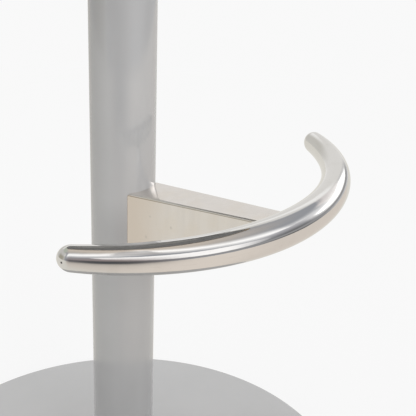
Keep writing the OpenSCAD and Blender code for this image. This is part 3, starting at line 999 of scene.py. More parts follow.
@dataclass
class BaseDisc(Assembly):
    """Round base plate, its floor ring and the screws under it. Sizes in millimetres."""

    edge_r: float = 2.0
    foot_edge_r: float = 0.5
    ring_w: float = 14.0
    ring_edge_r: float = 0.8
    screw_circle_r: float = 18.5
    screw_r: float = 4.0
    screw_count: int = 4
    slack: float = 0.1
    past: float = 1.0

    def build(self) -> None:
        """Makes the plate and its ring, and dresses the screws."""
        low, high = span("base_plate")
        ring_low, ring_high = span("floor_ring")
        inner = ring_high.x - self.ring_w
        plate = rounded(
            [
                (0.0, low.z, 0.0),
                (inner, low.z, 0.0),
                (inner, ring_high.z, 0.0),
                (ring_high.x, ring_high.z, 0.0),
                (ring_high.x, low.z, 0.0),
                (high.x, low.z, self.foot_edge_r),
                (high.x, high.z, self.edge_r),
                (0.0, high.z, 0.0),
            ],
            steps=8,
        )
        disc = lathe("base_disc", plate, 256)
        combine(disc, [self.hole(k, low.z, high.z) for k in range(self.screw_count)], "DIFFERENCE")
        self.finish(disc, Slot.PAINT, "base_plate")
        seal = rounded(
            [
                (inner, ring_low.z, self.ring_edge_r),
                (ring_high.x, ring_low.z, self.ring_edge_r),
                (ring_high.x, ring_high.z, 0.0),
                (inner, ring_high.z, 0.0),
            ],
            steps=4,
        )
        self.finish(lathe("floor_seal", seal, 256), Slot.RUBBER, "floor_ring")
        self.dress(Slot.STEEL, "base_screws", "column_foot", "rod_seat", "lower_race", "thrust_balls")

    def hole(self, number: int, low: float, high: float) -> bpy.types.Object:
        """Makes the countersunk cutting shape of one base screw, from below.

        Args:
            number: Number of the screw round its circle.
            low: Height of the plate's underside.
            high: Height of its top.

        Returns:
            The shape.
        """
        wide, thin = 2 * self.screw_r + self.slack, self.screw_r + self.slack
        below, above = low - self.past, high + self.past
        cone = [(wide, below), (wide, low), (thin, low + self.screw_r), (thin, above)]
        shape = [(0.0, below), *cone, (0.0, above)]
        angle = math.radians(45 + 360 * number / self.screw_count)
        place = Vector((math.cos(angle), math.sin(angle), 0.0)) * self.screw_circle_r * MM
        return turned(lathe(f"hole_{number}", shape, 32), Matrix.Translation(place))


@dataclass
class Column(Assembly):
    """The painted column with its trim collar and bush. Sizes in millimetres."""

    wall: float = 2.5
    foot_edge_r: float = 0.3
    head_edge_r: float = 0.5
    skirt_gap: float = 0.05
    collar_bore: float = 14.2
    collar_edges: tuple[float, float, float] = (0.4, 2.0, 0.8)

    def build(self) -> None:
        """Makes the tube and the collar, and dresses the bush."""
        low, high = span("column_tube")
        shell = rounded(
            [
                (high.x - self.wall, low.z, 0.0),
                (high.x, low.z, self.foot_edge_r),
                (high.x, high.z, self.head_edge_r),
                (high.x - self.wall, high.z, self.head_edge_r),
            ],
            steps=3,
        )
        self.finish(lathe("column_shell", shell, 256), Slot.PAINT, "column_tube")
        foot, head = span("column_collar")
        skirt = high.x + self.skirt_gap
        hem_r, crown_r, bore_r = self.collar_edges
        trim = rounded(
            [
                (skirt, foot.z, 0.0),
                (head.x, foot.z, hem_r),
                (head.x, head.z, crown_r),
                (self.collar_bore, head.z, bore_r),
                (self.collar_bore, high.z, 0.0),
                (skirt, high.z, 0.0),
            ],
            steps=5,
        )
        self.finish(lathe("column_trim", trim, 192), Slot.BRIGHT, "column_collar")
        self.dress(Slot.PLASTIC, "guide_bush")


@dataclass
class FootRest(Assembly):
    """Crescent foot bar and the folded bracket that carries it. Sizes in millimetres."""

    height: float = 355.0
    bend_r: float = 192.0
    reach: float = 184.0
    half_angle: float = 57.5
    mid: tuple[float, float] = (13.75, 14.0)
    end: tuple[float, float] = (9.0, 10.0)
    cad_dome: float = 9.0
    dome: float = 11.0
    column_r: float = 28.5
    root_w: float = 37.5
    tip_w: float = 28.0
    root_drop: float = 16.25
    tip_drop: float = 1.5
    root_h: float = 60.0
    tip_rise: float = 0.5
    inside: float = 14.0
    sheet: float = 3.0
    fold_r: float = 2.5
    inner_r: float = 0.5
    worn: float = 0.35
    worn_shares: tuple[float, ...] = (1.0, 0.35, 0.08)

    @property
    def centre_y(self) -> float:
        """Place of the bend's centre along Y."""
        return self.bend_r - self.reach

    def half_axes(self, share: float) -> tuple[float, float]:
        """Half depth and half height of the bar at a share of its length from its middle."""
        return tuple(m + (e - m) * share * share for m, e in zip(self.mid, self.end))

    def ring(self, share: float, push: float, part: float, sides: int) -> np.ndarray:
        """One section of the bar.

        Args:
            share: Place along the arc, from -1 to 1.
            push: Distance past that place, straight ahead.
            part: Share of the section's full size.
            sides: Number of its points.

        Returns:
            The section's points.
        """
        angle = math.radians(share * self.half_angle)
        out = np.array([math.sin(angle), -math.cos(angle), 0.0])
        along = np.array([math.cos(angle), math.sin(angle), 0.0])
        centre = np.array([0.0, self.centre_y, self.height]) + self.bend_r * out + push * along
        deep, tall = self.half_axes(share)
        around = circle(part, 0.0, sides)
        return centre + around[:, :1] * deep * out + around[:, 1:2] * tall * np.array([0.0, 0.0, 1.0])

    def bar(self, rings: int = 200, sides: int = 80, dome_rings: int = 18) -> bpy.types.Object:
        """Makes the foot bar: an ellipse swept along an arc, slimmer towards its domed ends.

        Args:
            rings: Number of steps along the arc.
            sides: Number of points in each section.
            dome_rings: Number of steps in each dome.

        Returns:
            The bar.
        """
        start = math.degrees((self.dome - self.cad_dome) / self.bend_r)
        last = 1 - start / self.half_angle
        domes = [(self.dome * math.sin(a), max(math.cos(a), 0.0)) for a in quarter(dome_rings, 1)]
        loops = [self.ring(-last, -push, part, sides) for push, part in reversed(domes)]
        loops += [self.ring(last * (2 * k / rings - 1), 0.0, 1.0, sides) for k in range(rings + 1)]
        loops += [self.ring(last, push, part, sides) for push, part in domes]
        return loft("foot_rail", loops, "open", 80.0)

    def bar_level(self, point: np.ndarray) -> float:
        """Tells how far a point is outside the bar's surface.

        Args:
            point: The point.

        Returns:
            A number that is 0 on the surface and above 0 outside it.
        """
        x, y = point[0], point[1] - self.centre_y
        share = math.degrees(math.atan2(x, -y)) / self.half_angle
        deep, tall = self.half_axes(share)
        out, up = (math.hypot(x, y) - self.bend_r) / deep, (point[2] - self.height) / tall
        return out**2 + up**2 - 1

    def section(self, width: float, top: float, bottom: float, steps: int) -> list[tuple[float, float]]:
        """Outline of the folded sheet across its width, over its outside and back over its inside.

        Args:
            width: Width over the two sides.
            top: Height of the outside of the fold.
            bottom: Height of the lower edges.
            steps: Number of steps in each fold.

        Returns:
            The outline's points across and up.
        """
        half = width / 2
        outer = self.channel(half, top, bottom, self.fold_r, steps)
        inner = self.channel(self.sheet - half, top - self.sheet, bottom, self.inner_r, steps)
        return [*outer, *inner]

    @staticmethod
    def channel(
        half: float, top: float, bottom: float, radius: float, steps: int
    ) -> list[tuple[float, float]]:
        """One face of the folded sheet, from left to right, or from right to left for half < 0."""
        corners = [(-half, bottom, 0.0), (-half, top, radius), (half, top, radius), (half, bottom, 0.0)]
        return rounded(corners, steps)

    def bracket(self, steps: int = 8, rows: int = 24) -> bpy.types.Object:
        """Makes the folded bracket, each of whose long lines runs from the column to the bar.

        Args:
            steps: Number of steps in each fold.
            rows: Number of steps along the bracket.

        Returns:
            The bracket.
        """
        length = self.reach - self.column_r
        root_y, tip_y = self.inside - self.column_r, -self.reach
        widen = (self.root_w - self.tip_w) / length * self.inside
        sink = (self.root_drop - self.tip_drop) / length * self.inside
        root_top, tip_top = -self.root_drop - sink, -self.tip_drop
        tip_bottom = self.tip_rise - self.mid[1]
        root = self.section(self.root_w + widen, root_top, root_top - self.root_h, steps)
        tip = self.section(self.tip_w, tip_top, tip_bottom, steps)
        lines = []
        for (x0, z0), (x1, z1) in zip(root, tip):
            start = np.array([x0, root_y, self.height + z0])
            end = np.array([x1, tip_y, self.height + z1])
            low = self.crossing(start, end, lambda p: self.column_r - math.hypot(p[0], p[1]))
            high = self.crossing(start, end, self.bar_level)
            along = (high - low) / np.linalg.norm(high - low)
            near = [low + along * k * self.worn for k in range(len(self.worn_shares) + 1)]
            past = near[-1]
            lines.append([*near, *(past + (high - past) * k / rows for k in range(1, rows + 1))])
        loops = [np.array(loop) for loop in zip(*lines)]
        for loop, share in zip(loops, self.worn_shares):
            self.wear(loop, share * self.worn)
        count = len(loops[0])
        faces = strips(len(loops), count)
        for first in (0, (len(loops) - 1) * count):
            for k in range(count // 2 - 1):
                faces.append([first + n for n in (k, k + 1, count - 2 - k, count - 1 - k)])
        return new_piece("bracket_fold", np.concatenate(loops) * MM, faces, 50.0)

    def wear(self, loop: np.ndarray, depth: float) -> None:
        """Draws the outer half of a section in, as on a dressed edge.

        Args:
            loop: The section's points, which are changed.
            depth: How far in.
        """
        half = len(loop) // 2
        outer = loop[:half]
        outer[:, 0] -= np.sign(outer[:, 0]) * depth
        top = outer[:, 2] > outer[:, 2].max() - self.fold_r
        outer[top, 2] -= depth

    @staticmethod
    def crossing(
        start: np.ndarray, end: np.ndarray, level: Callable[[np.ndarray], float]
    ) -> np.ndarray:
        """Finds where a straight line meets a surface.

        Args:
            start: One end of the line, where the level is above 0.
            end: Its other end, where the level is below 0.
            level: A measure of a point that is 0 on the surface.

        Returns:
            The point on the line.
        """
        low, high = 0.0, 1.0
        for _ in range(40):
            middle = (low + high) / 2
            if level(start + (end - start) * middle) > 0:
                low = middle
            else:
                high = middle
        return start + (end - start) * low

    def build(self) -> None:
        """Makes the bar and the bracket."""
        self.finish(self.bar(), Slot.POLISHED, "foot_bar")
        self.finish(self.bracket(), Slot.SATIN, "foot_bracket")


@dataclass
class GasLift(Assembly):
    """Rod, cylinder and bearing of the lift, which keep their CAD shapes."""

    def build(self) -> None:
        """Dresses the nodes."""
        self.dress(Slot.BRIGHT, "piston_rod", "pressure_cylinder", "release_pin")
        self.dress(Slot.STEEL, "upper_race", "piston", "rod_clip", "valve_body")
        self.dress(Slot.RUBBER, "bump_stop")
        self.dress(Slot.PLASTIC, "rod_gland")


@dataclass
class SeatMount(Assembly):
    """Socket, pressed plate and fixings under the seat. Sizes in millimetres."""

    body: Body = Body.SEAT
    taper: float = 1.0
    lip_r: float = 0.5
    sleeve_edge_r: float = 1.2
    sheet: float = 3.0
    corner_r: float = 12.0
    bend_r: float = 2.5
    tray: tuple[float, float, float] = (-26.0, 46.0, 44.0)
    tray_corners: tuple[float, float, float] = (5.0, 3.0, 2.0)
    slot_half: float = 5.5
    slot_drop: float = 5.5
    pivot_x: float = 24.0
    pivot_r: float = 2.5
    pivot_reach: float = 40.0
    screw_pitch: float = 120.0
    screw_r: float = 3.3
    past: float = 2.0

    def build(self) -> None:
        """Makes the socket and the plate, and dresses the rest."""
        low, high = span("seat_socket")
        wide = span("pressure_cylinder")[1].x
        sleeve = rounded(
            [
                (wide, low.z, self.lip_r),
                (high.x, low.z, self.sleeve_edge_r),
                (high.x, high.z, 0.0),
                (wide - self.taper, high.z, 0.0),
            ],
            4,
        )
        self.finish(lathe("socket_sleeve", sleeve, 128), Slot.PAINT, "seat_socket")
        self.finish(self.plate(wide - self.taper), Slot.PAINT, "seat_plate")
        self.dress(Slot.STEEL, "pivot_pin", "seat_screws", "t_nuts")

    def level(self, grow: float, height: float, radius: float) -> np.ndarray:
        """Loop round the tray with rounded corners.

        Args:
            grow: Distance outside the tray's inner wall.
            height: Its height.
            radius: Radius of its corners.

        Returns:
            The loop's points.
        """
        back, front, width = self.tray
        shape = round_rect(front - back + 2 * grow, width + 2 * grow, radius)
        return np.array([((front + back) / 2 + x, y, height) for x, y in shape])

    def plate(self, bore: float) -> bpy.types.Object:
        """Makes the pressed plate: a flange with a tray, bent with small radii.

        Args:
            bore: Radius of the hole for the taper.

        Returns:
            The plate.
        """
        low, high = span("seat_plate")
        side = high.x - low.x
        flange = high.z - self.sheet
        outline = round_rect(side, side, self.corner_r)
        rim = [np.array([(x, y, z) for x, y in outline]) for z in (flange, high.z)]
        outer_r, middle_r, inner_r = self.tray_corners
        hole = self.level(0.0, low.z, middle_r)
        turns = np.arctan2(hole[:, 1], hole[:, 0])
        ring = [
            np.stack([bore * np.cos(turns), bore * np.sin(turns), np.full(len(turns), z)], axis=1)
            for z in (low.z, low.z + self.sheet)
        ]
        outer, inner = [], []
        for turn in quarter(5):
            near = self.bend_r * (1 - math.sin(turn))
            drop = self.bend_r * (1 - math.cos(turn))
            outer.append(self.level(self.sheet - near, low.z + drop, outer_r - near))
            inner.append(self.level(near, high.z - drop, inner_r + near))
        loops = [rim[0], self.level(self.sheet, flange, outer_r), *reversed(outer), *ring]
        loops += [self.level(0.0, low.z + self.sheet, inner_r), *reversed(inner), rim[1]]
        plate = loft("pressed_plate", loops, "ring")
        lever_z = span("lever_rod")[1].z - self.slot_drop
        front = self.tray[1] + self.sheet
        slot_low = (self.tray[1] - self.past, -self.slot_half, lever_z - self.slot_drop)
        tools = [box_piece("lever_slot", slot_low, (front + self.past, self.slot_half, flange))]
        pin = plug("pin_hole", self.pivot_r, -self.pivot_reach, self.pivot_reach)
        tools.append(turned(pin, crosswise(self.pivot_x, lever_z)))
        for number, (x, y) in enumerate(CORNERS):
            hole = plug(f"screw_hole_{number}", self.screw_r, flange - self.past, high.z + self.past)
            place = Vector((x, y, 0)) * self.screw_pitch / 2 * MM
            tools.append(turned(hole, Matrix.Translation(place)))
        combine(plate, tools, "DIFFERENCE")
        return plate


@dataclass
class Seat(Assembly):
    """Board, cushion, piping, stitches and lining. Sizes in millimetres."""

    body: Body = Body.SEAT
    crown: float = 12.0
    shoulder: float = 0.86
    fall: float = 0.45
    pull: float = 5.0
    shrink: float = 2.0
    seam_inset: float = 1.0
    seam_hold: float = 4.5
    hem: float = 3.0
    voxel: float = 6.0
    swell_cap: float = 6.0
    board_gap: float = 0.5
    board_lift: float = 0.2
    past: float = 5.0
    stitch: tuple[float, float] = (2.6, 0.45)
    stitch_rings: tuple[tuple[float, float], ...] = (
        (-0.5, 0.35),
        (-0.3, 1.0),
        (0.3, 1.0),
        (0.5, 0.35),
    )
    stitch_sides: int = 6
    stitch_step: float = 5.0
    stitch_inset: float = 9.0

    def cushion(self, seam_r: float, rim: float, bottom: float, steps: int = 12) -> bpy.types.Object:
        """Makes the cushion: a crowned closed form, blown up a little between its held seams.

        Args:
            seam_r: Radius of the top seam.
            rim: Height of the top seam.
            bottom: Height of the lower hem.
            steps: Number of steps across the crown and down the side.

        Returns:
            The cushion.
        """
        top, edge = rim + self.crown - self.shrink, seam_r - self.seam_inset
        shape = [(0.0, top)]
        for k in range(1, steps + 1):
            drop = self.crown * self.fall * (k / steps) ** 2
            shape.append((seam_r * self.shoulder * k / steps, top - drop))
        for turn in quarter(8, 1):
            rise = (self.crown * (1 - self.fall) - self.shrink) * math.cos(turn)
            part = self.shoulder + (1 - self.shoulder) * math.sin(turn)
            shape.append((seam_r * part - self.seam_inset, rim + rise))
        for k in range(1, steps + 1):
            bulge = (self.pull - self.shrink) * math.sin(math.pi * k / steps)
            shape.append((edge + bulge, rim - (rim - bottom) * k / steps))
        shape.append((0.0, bottom))
        made = lathe("seat_cover", shape, 128, SOFT_SHARP)
        seam, hem = Vector((edge, rim)) * MM, (bottom + self.hem) * MM

        def held(point: Vector) -> bool:
            """Tells whether a point is on a seam or the hem."""
            flat = Vector((math.hypot(point.x, point.y), point.z))
            return (flat - seam).length < self.seam_hold * MM or point.z < hem

        swell(made, self.voxel * MM, held, self.swell_cap * MM)
        return made

    def stitches(self, cover: bpy.types.Object, seam_r: float, rim: float) -> bpy.types.Object:
        """Makes a row of stitches on the top of the cover, just inside the piping.

        Args:
            cover: The cover, on which each stitch is laid by a ray from above.
            seam_r: Radius of the top seam.
            rim: Height of the top seam.

        Returns:
            The stitches as one piece.
        """
        long, thin = self.stitch
        sides = self.stitch_sides
        radius = seam_r - self.stitch_inset
        count = round(2 * math.pi * radius / self.stitch_step)
        points, faces = [], []
        for number in range(count):
            turn = 2 * math.pi * number / count
            out = Vector((math.cos(turn), math.sin(turn), 0.0))
            along = Vector((-out.y, out.x, 0.0))
            above = out * radius * MM + Vector((0, 0, (rim + 5 * self.crown) * MM))
            found, spot, normal, _ = cover.ray_cast(above, Vector((0, 0, -1)))
            if not found:
                continue
            across = along.cross(normal).normalized()
            first = len(points)
            for place, size in self.stitch_rings:
                centre = spot + along * long * place * MM
                for k in range(sides):
                    angle = 2 * math.pi * k / sides
                    spoke = across * math.cos(angle) + normal * math.sin(angle)
                    points.append(centre + spoke * thin * size * MM)
            rows = len(self.stitch_rings)
            faces += strips(rows, sides, first=first)
            for end in (first, first + (rows - 1) * sides):
                faces.append(list(range(end, end + sides)))
        return new_piece("seat_stitches", np.array([p[:] for p in points]), faces, SOFT_SHARP)

    def build(self) -> None:
        """Makes the soft pieces and dresses the board and the lining."""
        board_low, board_high = span("seat_board")
        cord_low, cord_high = span("seat_piping")
        cord_r = (cord_high.z - cord_low.z) / 2
        seam_r, rim = cord_high.x - cord_r, cord_high.z - cord_r
        cover = self.cushion(seam_r, rim, board_low.z)
        room_r, room_top = board_high.x + self.board_gap, board_high.z + self.board_lift
        room = plug("board_room", room_r, board_low.z - self.past, room_top, 128)
        combine(cover, [room], "DIFFERENCE", SOFT_SHARP)
        self.finish(cover, Slot.LEATHER, "cover_top", "cover_side", "seat_foam")
        turns = [2 * math.pi * k / 20 for k in range(20)]
        ring = [(seam_r + cord_r * math.cos(a), rim + cord_r * math.sin(a)) for a in turns]
        self.finish(lathe("piping_cord", ring, 256, 80.0), Slot.LEATHER, "seat_piping")
        self.finish(self.stitches(cover, seam_r, rim), Slot.LEATHER)
        self.dress(Slot.PLYWOOD, "seat_board")
        self.dress(Slot.LINING, "dust_cover")


@dataclass
class Lever(Assembly):
    """Height lever and its grip. Sizes in millimetres."""

    body: Body = Body.LEVER
    rod_r: float = 4.0
    tail: float = 8.0
    bend_x: float = 61.0
    bend_r: float = 36.0
    droop: float = 15.0
    length: float = 112.0
    eye: tuple[float, float, float, float] = (6.0, 10.0, 2.55, 0.6)
    pivot_x: float = 24.0
    pin_gap: float = 0.3
    grip_r: float = 8.5
    grip_len: float = 58.0
    grip_end: float = 4.0
    grip_taper: float = 0.35
    grip_round: float = 0.6
    neck: float = 6.12
    neck_edge: float = 0.6
    ribs: int = 6
    rib_start: float = 3.0
    rib_step: float = 3.2
    rib_w: float = 2.0
    rib_depth: float = 0.7

    def build(self) -> None:
        """Makes the rod with its eye, and the grip."""
        height = span("release_pin")[1].z + self.pin_gap + self.rod_r
        straight = [(-self.tail + (self.bend_x + self.tail) * k / 8, 0.0, height) for k in range(8)]
        slope = math.radians(self.droop)
        bend = []
        for k in range(11):
            turn = slope * k / 10
            drop = self.bend_r * (1 - math.cos(turn))
            bend.append((self.bend_x + self.bend_r * math.sin(turn), 0.0, height - drop))
        ahead = Vector((math.cos(slope), 0.0, -math.sin(slope)))
        corner = Vector(bend[-1])
        sloping = [tuple(corner + ahead * (self.length - self.grip_end) * k / 8) for k in range(1, 9)]
        rod = tube("lever_bar", np.array([*straight, *bend, *sloping]), self.rod_r, 32)
        eye_r, eye_w, hole_r, edge_r = self.eye
        half = eye_w / 2
        knuckle = [(0, -half, 0), (eye_r, -half, edge_r), (eye_r, half, edge_r), (0, half, 0)]
        across = crosswise(self.pivot_x, height)
        combine(rod, [turned(lathe("eye", rounded(knuckle, 3), 48), across)], "UNION")
        combine(rod, [turned(plug("eye_hole", hole_r, -eye_w, eye_w), across)], "DIFFERENCE")
        self.finish(rod, Slot.BRIGHT, "lever_rod")
        start = corner + ahead * (self.length - self.grip_len)
        lean = Matrix.Translation(start * MM) @ Matrix.Rotation(math.pi / 2 + slope, 4, "Y")
        self.finish(turned(self.grip(), lean), Slot.PLASTIC, "lever_grip")

    def grip(self) -> bpy.types.Object:
        """Makes the grip along the upright axis, with shallow ribs for the fingers.

        Returns:
            The grip.
        """
        bore, taper = self.rod_r, self.grip_len * self.grip_taper
        shape = [(bore, 0.0), (self.neck - self.neck_edge, 0.0), (self.neck, self.neck_edge)]
        shape.append((self.grip_r, taper))
        groove_r = self.grip_r - self.rib_depth
        for k in range(self.ribs):
            low = taper + self.rib_start + self.rib_step * k
            high = low + self.rib_w
            shape += [(self.grip_r, low), (groove_r, low + self.rib_depth)]
            shape += [(groove_r, high - self.rib_depth), (self.grip_r, high)]
        edge = self.grip_r * self.grip_round
        core_r, core_z = self.grip_r - edge, self.grip_len - edge
        shape += [(core_r + edge * math.cos(a), core_z + edge * math.sin(a)) for a in quarter(8)]
        shape += [(0.0, self.grip_len), (0.0, self.grip_len - self.grip_end)]
        shape.append((bore, self.grip_len - self.grip_end))
        return lathe("grip_sleeve", shape, 64, 40.0)


# Studio and camera


@dataclass(frozen=True)
class Patch:
    """A soft-edged patch of the room that polished metal mirrors.

    Angles are in degrees. The turn is 0 at the stool's front and 90 at +X, and the rise is 0 level
    with the floor's horizon. Each span is a centre, a half width and the softness of its edges.
    """

    tone: Colour
    turn: tuple[float, float, float] | None = None
    rise: tuple[float, float, float] | None = None
    tilt: float = 0.0
    share: float = 1.0
    oval: bool = False
    both_sides: bool = False

    def mask(self, turn: Sock, rise: Sock) -> Sock | float:
        """Share of the patch at a direction.

        Args:
            turn: The direction's turn.
            rise: The direction's rise.

        Returns:
            A value from 0 to the patch's own share.
        """
        across = turn.math("ABSOLUTE") if self.both_sides else turn
        found: Sock | float = self.share
        level = rise
        if self.turn is not None:
            centre, half, soft = self.turn
            across = across - centre
            if self.tilt:
                level = rise - across * self.tilt
            if self.oval:
                middle, tall, _ = self.rise
                u, v = across / half, (level - middle) / tall
                return (u * u + v * v).math("SQRT").ramp(1 + soft, 1 - soft) * self.share
            found = across.near(half, soft) * found
        if self.rise is not None:
            centre, half, soft = self.rise
            found = (level - centre).near(half, soft) * found
        return found


ROOM: tuple[Patch, ...] = (
    Patch((1.48, 1.473, 1.48), (-60.0, 30.0, 6.0), (52.6, 8.6, 18.8), tilt=0.563),
    Patch((1.48, 1.473, 1.48), (6.5, 39.5, 9.0), (47.1, 8.6, 18.8), tilt=-0.563),
    Patch((0.42, 0.41, 0.42), (-42.2, 15.4, 4.0), (62.0, 14.0, 3.0), share=0.7),
    Patch((1.20, 1.19, 1.20), (-19.8, 43.9, 0.05), (21.0, 12.8, 0.0), tilt=-0.142, oval=True),
    Patch((0.726, 0.69, 0.69), (111.2, 34.4, 4.0), (26.7, 5.8, 2.0)),
    Patch((1.95, 1.95, 1.95), (75.3, 26.5, 3.5), (13.3, 7.0, 17.2), tilt=-0.135),
    Patch((0.51, 0.51, 0.546), (37.4, 19.1, 19.5), (-31.1, 58.0, 2.0)),
    Patch((0.095, 0.098, 0.102), (37.4, 19.1, 19.5), (-31.1, 46.0, 13.0)),
    Patch((0.34, 0.34, 0.35), None, (2.8, 3.8, 2.4)),
    Patch((4.3, 4.2, 4.15), (79.0, 17.0, 7.0), (16.5, 3.0, 2.0)),
    Patch((0.32, 0.27, 0.27), (-55.7, 22.7, 22.0), (-40.0, 63.2, 12.0)),
    Patch((0.088, 0.09, 0.097), (-55.7, 22.7, 22.0), (-40.0, 47.8, 4.0)),
    Patch((0.80, 0.79, 0.776), (180.0, 77.0, 5.0), (-20.0, 62.5, 4.0), both_sides=True),
    Patch((0.98, 0.975, 0.96), (180.0, 77.0, 5.0), (-90.0, 86.0, 8.0), both_sides=True),
    Patch((1.0, 1.0, 1.0), (180.0, 77.0, 5.0), (28.3, 4.2, 3.0), both_sides=True),
    Patch((0.52, 0.51, 0.47), (180.0, 34.0, 10.0), (9.5, 18.9, 5.0), share=0.6, both_sides=True),
    Patch((0.62, 0.61, 0.60), (-180.0, 75.0, 15.0), (-20.0, 62.5, 4.0)),
    Patch((0.40, 0.38, 0.32), (-130.0, 24.0, 14.0), (6.0, 15.0, 9.0)),
    Patch((0.50, 0.53, 0.47), (180.0, 60.0, 10.0), (51.5, 11.5, 4.0), both_sides=True),
)


@dataclass(frozen=True)
class Lamp:
    """Large soft square lamp that polished metal doesn't mirror. Lengths in metres, power in watts."""

    name: str = "key_lamp"
    place: tuple[float, float, float] = (-0.50, -1.15, 0.93)
    aim: tuple[float, float, float] = (0.0, 0.0, 0.75)
    size: float = 0.6
    power: float = 2.0
    spread_deg: float = 70.0

    def build(self) -> None:
        """Makes the lamp."""
        light = bpy.data.lights.new(self.name, "AREA")
        light.shape = "SQUARE"
        light.size = self.size
        light.energy = self.power
        light.spread = math.radians(self.spread_deg)
        made = bpy.data.objects.new(self.name, light)
        ahead = Vector(self.aim) - Vector(self.place)
        made.location = self.place
        made.rotation_euler = ahead.to_track_quat("-Z", "Y").to_euler()
        made.visible_camera = False
        made.visible_glossy = False
        bpy.context.scene.collection.objects.link(made)


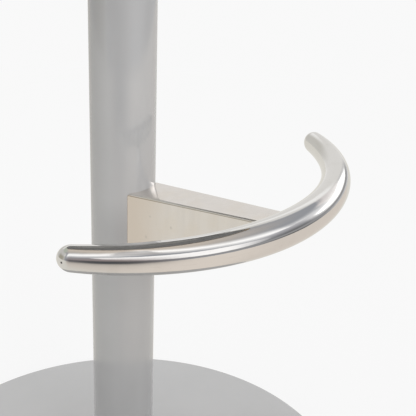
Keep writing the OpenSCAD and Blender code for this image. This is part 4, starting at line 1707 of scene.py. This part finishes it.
@dataclass(frozen=True)
class Studio:
    """Pale floor, even surrounding light, a plain room for metal to mirror and one soft lamp.

    Angles are in degrees and lengths in metres. Each span is a centre, a half width and the softness
    of its edges.
    """

    white: float = 0.945
    light: float = 0.85
    level_light: float = 0.84
    top_light: float = 1.28
    top_rise: float = 0.8
    low_tone: Colour = (0.36, 0.373, 0.406)
    high_tone: Colour = (0.656, 0.587, 0.519)
    tone_rise: tuple[float, float] = (37.3, 79.1)
    floor_r: float = 6.0
    floor_sides: int = 96
    near_r: tuple[float, float] = (3.8, 5.4)
    matt: Colour = (0.45, 0.45, 0.44)
    ground: float = 0.92
    ground_share: float = 0.20
    ground_r: tuple[float, float] = (0.5, 1.6)
    warm: Colour = (0.752, 0.690, 0.634)
    # Painted pool of light on the floor in reflections: its colour, span of turns and share.
    bright: Colour = (2.0, 1.8, 1.6)
    painted_light_span: tuple[float, float, float] = (-16.5, 29.5, 15.0)
    painted_light_share: float = 0.056
    pale: Colour = (0.764, 0.746, 0.699)
    pale_y: tuple[float, float] = (-0.265, -0.005)
    shadow: Colour = (0.088, 0.090, 0.097)
    shadow_span: tuple[float, float, float] = (-55.7, 22.7, 22.0)
    shadow_r: float = 3.1
    glow_share: float = 0.70

    def floor_tone(self, net: Net, place: Sock, radius: Sock) -> Sock:
        """Colour of the floor in reflections.

        Args:
            net: The floor's shader tree.
            place: Place on the floor.
            radius: Distance from the stool's axis.

        Returns:
            The colour, paler behind the stool, with a painted pool of light and a painted shadow over
            spans of turns.
        """
        x, y, _ = net.axes(place)
        turn = net.turn(x, y) * DEGREES
        # Painted pool of light on the floor, seen in reflections.
        centre, half, soft = self.painted_light_span
        bright = (turn - centre).near(half, soft) * self.painted_light_share
        tone = net.blend(bright, self.warm, self.bright)
        tone = net.blend(y.ramp(*self.pale_y), tone, self.pale)
        centre, half, soft = self.shadow_span
        shadow = (turn - centre).near(half, soft) * radius.ramp(0.0, self.shadow_r)
        return net.blend(shadow, tone, self.shadow)

    def floor(self) -> None:
        """Makes the floor: white to the camera, matt to soft light and toned in reflections."""
        sides = self.floor_sides
        plane = new_piece("floor", circle(self.floor_r, 0.0, sides), [list(range(sides))])
        material = bpy.data.materials.new("studio_floor")
        material.use_nodes = True
        net = Net(material.node_tree)
        place = net.place()
        radius = net.distance(place, (0.0, 0.0, 0.0))
        camera, glossy = net.rays()
        tone = self.floor_tone(net, place, radius)
        matt = net.add("ShaderNodeBsdfDiffuse", {}, {"Color": self.matt})
        shaded = net.add("ShaderNodeBsdfDiffuse", {}, {"Color": tone})
        glow = net.add("ShaderNodeEmission", {}, {"Color": tone, "Strength": 1.0})
        white = net.add("ShaderNodeEmission", {}, {"Color": (self.white,) * 3, "Strength": 1.0})
        ground = net.add("ShaderNodeBsdfDiffuse", {}, {"Color": (self.ground,) * 3})
        clear = net.add("ShaderNodeBsdfTransparent")
        away = 1 - self.ground_share + self.ground_share * radius.ramp(*self.ground_r)
        seen = self.mix(net, away, ground, white)
        mirrored = self.mix(net, self.glow_share, shaded, glow)
        mirrored = self.mix(net, radius.ramp(*self.near_r), mirrored, clear)
        shown = self.mix(net, camera, self.mix(net, glossy, matt, mirrored), seen)
        net.add("ShaderNodeOutputMaterial", {}, {"Surface": shown})
        plane.data.materials.append(material)

    def surround(self) -> None:
        """Lights the scene evenly, with a plain room of soft patches for polished metal to mirror."""
        world = bpy.data.worlds.new("studio")
        bpy.context.scene.world = world
        world.use_nodes = True
        net = Net(world.node_tree)
        x, y, z = net.axes(net.add("ShaderNodeTexCoord", out="Generated"))
        rise = z.math("ARCSINE") * DEGREES
        turn = net.turn(x, y) * DEGREES
        camera, glossy = net.rays()
        tone = net.blend(rise.ramp(*self.tone_rise), self.low_tone, self.high_tone)
        for patch in ROOM:
            tone = net.blend(patch.mask(turn, rise), tone, patch.tone)
        even = net.blend(z.ramp(0.0, self.top_rise), (self.level_light,) * 3, (self.top_light,) * 3)
        plain = net.add("ShaderNodeBackground", {}, {"Color": even, "Strength": self.light})
        white = net.add("ShaderNodeBackground", {}, {"Color": (self.white,) * 3, "Strength": 1.0})
        room = net.add("ShaderNodeBackground", {}, {"Color": tone, "Strength": 1.0})
        shown = self.mix(net, camera, self.mix(net, glossy, plain, room), white)
        net.add("ShaderNodeOutputWorld", {}, {"Surface": shown})

    @staticmethod
    def mix(net: Net, factor: Any, first: Sock, second: Sock) -> Sock:
        """Mixes two shaders by the share of the second."""
        return net.add("ShaderNodeMixShader", {}, {0: factor, 1: first, 2: second})

    def build(self) -> None:
        """Sets up the studio."""
        self.floor()
        self.surround()
        Lamp().build()
        LOG.info("studio ready")


@dataclass(frozen=True)
class PhotoCamera:
    """Camera at the photograph's place. Lengths in metres."""

    place: tuple[float, float, float] = (-0.58504, -0.52589, 0.65796)
    heading_deg: float = 36.433
    pitch_deg: float = -23.634
    roll_rad: float = 0.0371
    lens: float = 83.02
    sensor: float = 36.0

    def build(self) -> None:
        """Makes the camera and gives it to the scene."""
        data = bpy.data.cameras.new("photo_camera")
        data.lens = self.lens
        data.sensor_width = self.sensor
        data.clip_start, data.clip_end = 0.01, 50.0
        made = bpy.data.objects.new("photo_camera", data)
        turn = math.radians(self.heading_deg)
        dip = math.radians(self.pitch_deg)
        ahead = Vector((math.cos(turn) * math.cos(dip), math.sin(turn) * math.cos(dip), math.sin(dip)))
        level = Vector((math.sin(turn), -math.cos(turn), 0.0))
        upward = level.cross(ahead)
        right = level * math.cos(self.roll_rad) + upward * math.sin(self.roll_rad)
        top = upward * math.cos(self.roll_rad) - level * math.sin(self.roll_rad)
        made.matrix_world = Matrix((right, top, -ahead)).transposed().to_4x4()
        made.location = self.place
        bpy.context.scene.collection.objects.link(made)
        bpy.context.scene.camera = made


def main() -> None:
    """Builds the stool and its studio in order."""
    logging.basicConfig(level=logging.INFO, format="%(name)s: %(message)s")
    PhotoCamera().build()
    Studio().build()
    for assembly in (BaseDisc(), Column(), FootRest(), GasLift(), SeatMount(), Seat(), Lever()):
        assembly.build()
        LOG.info("%s: %d new pieces", type(assembly).__name__, len(assembly.made))
    bpy.context.scene.view_settings.view_transform = "Standard"


if __name__ == "__main__":
    main()
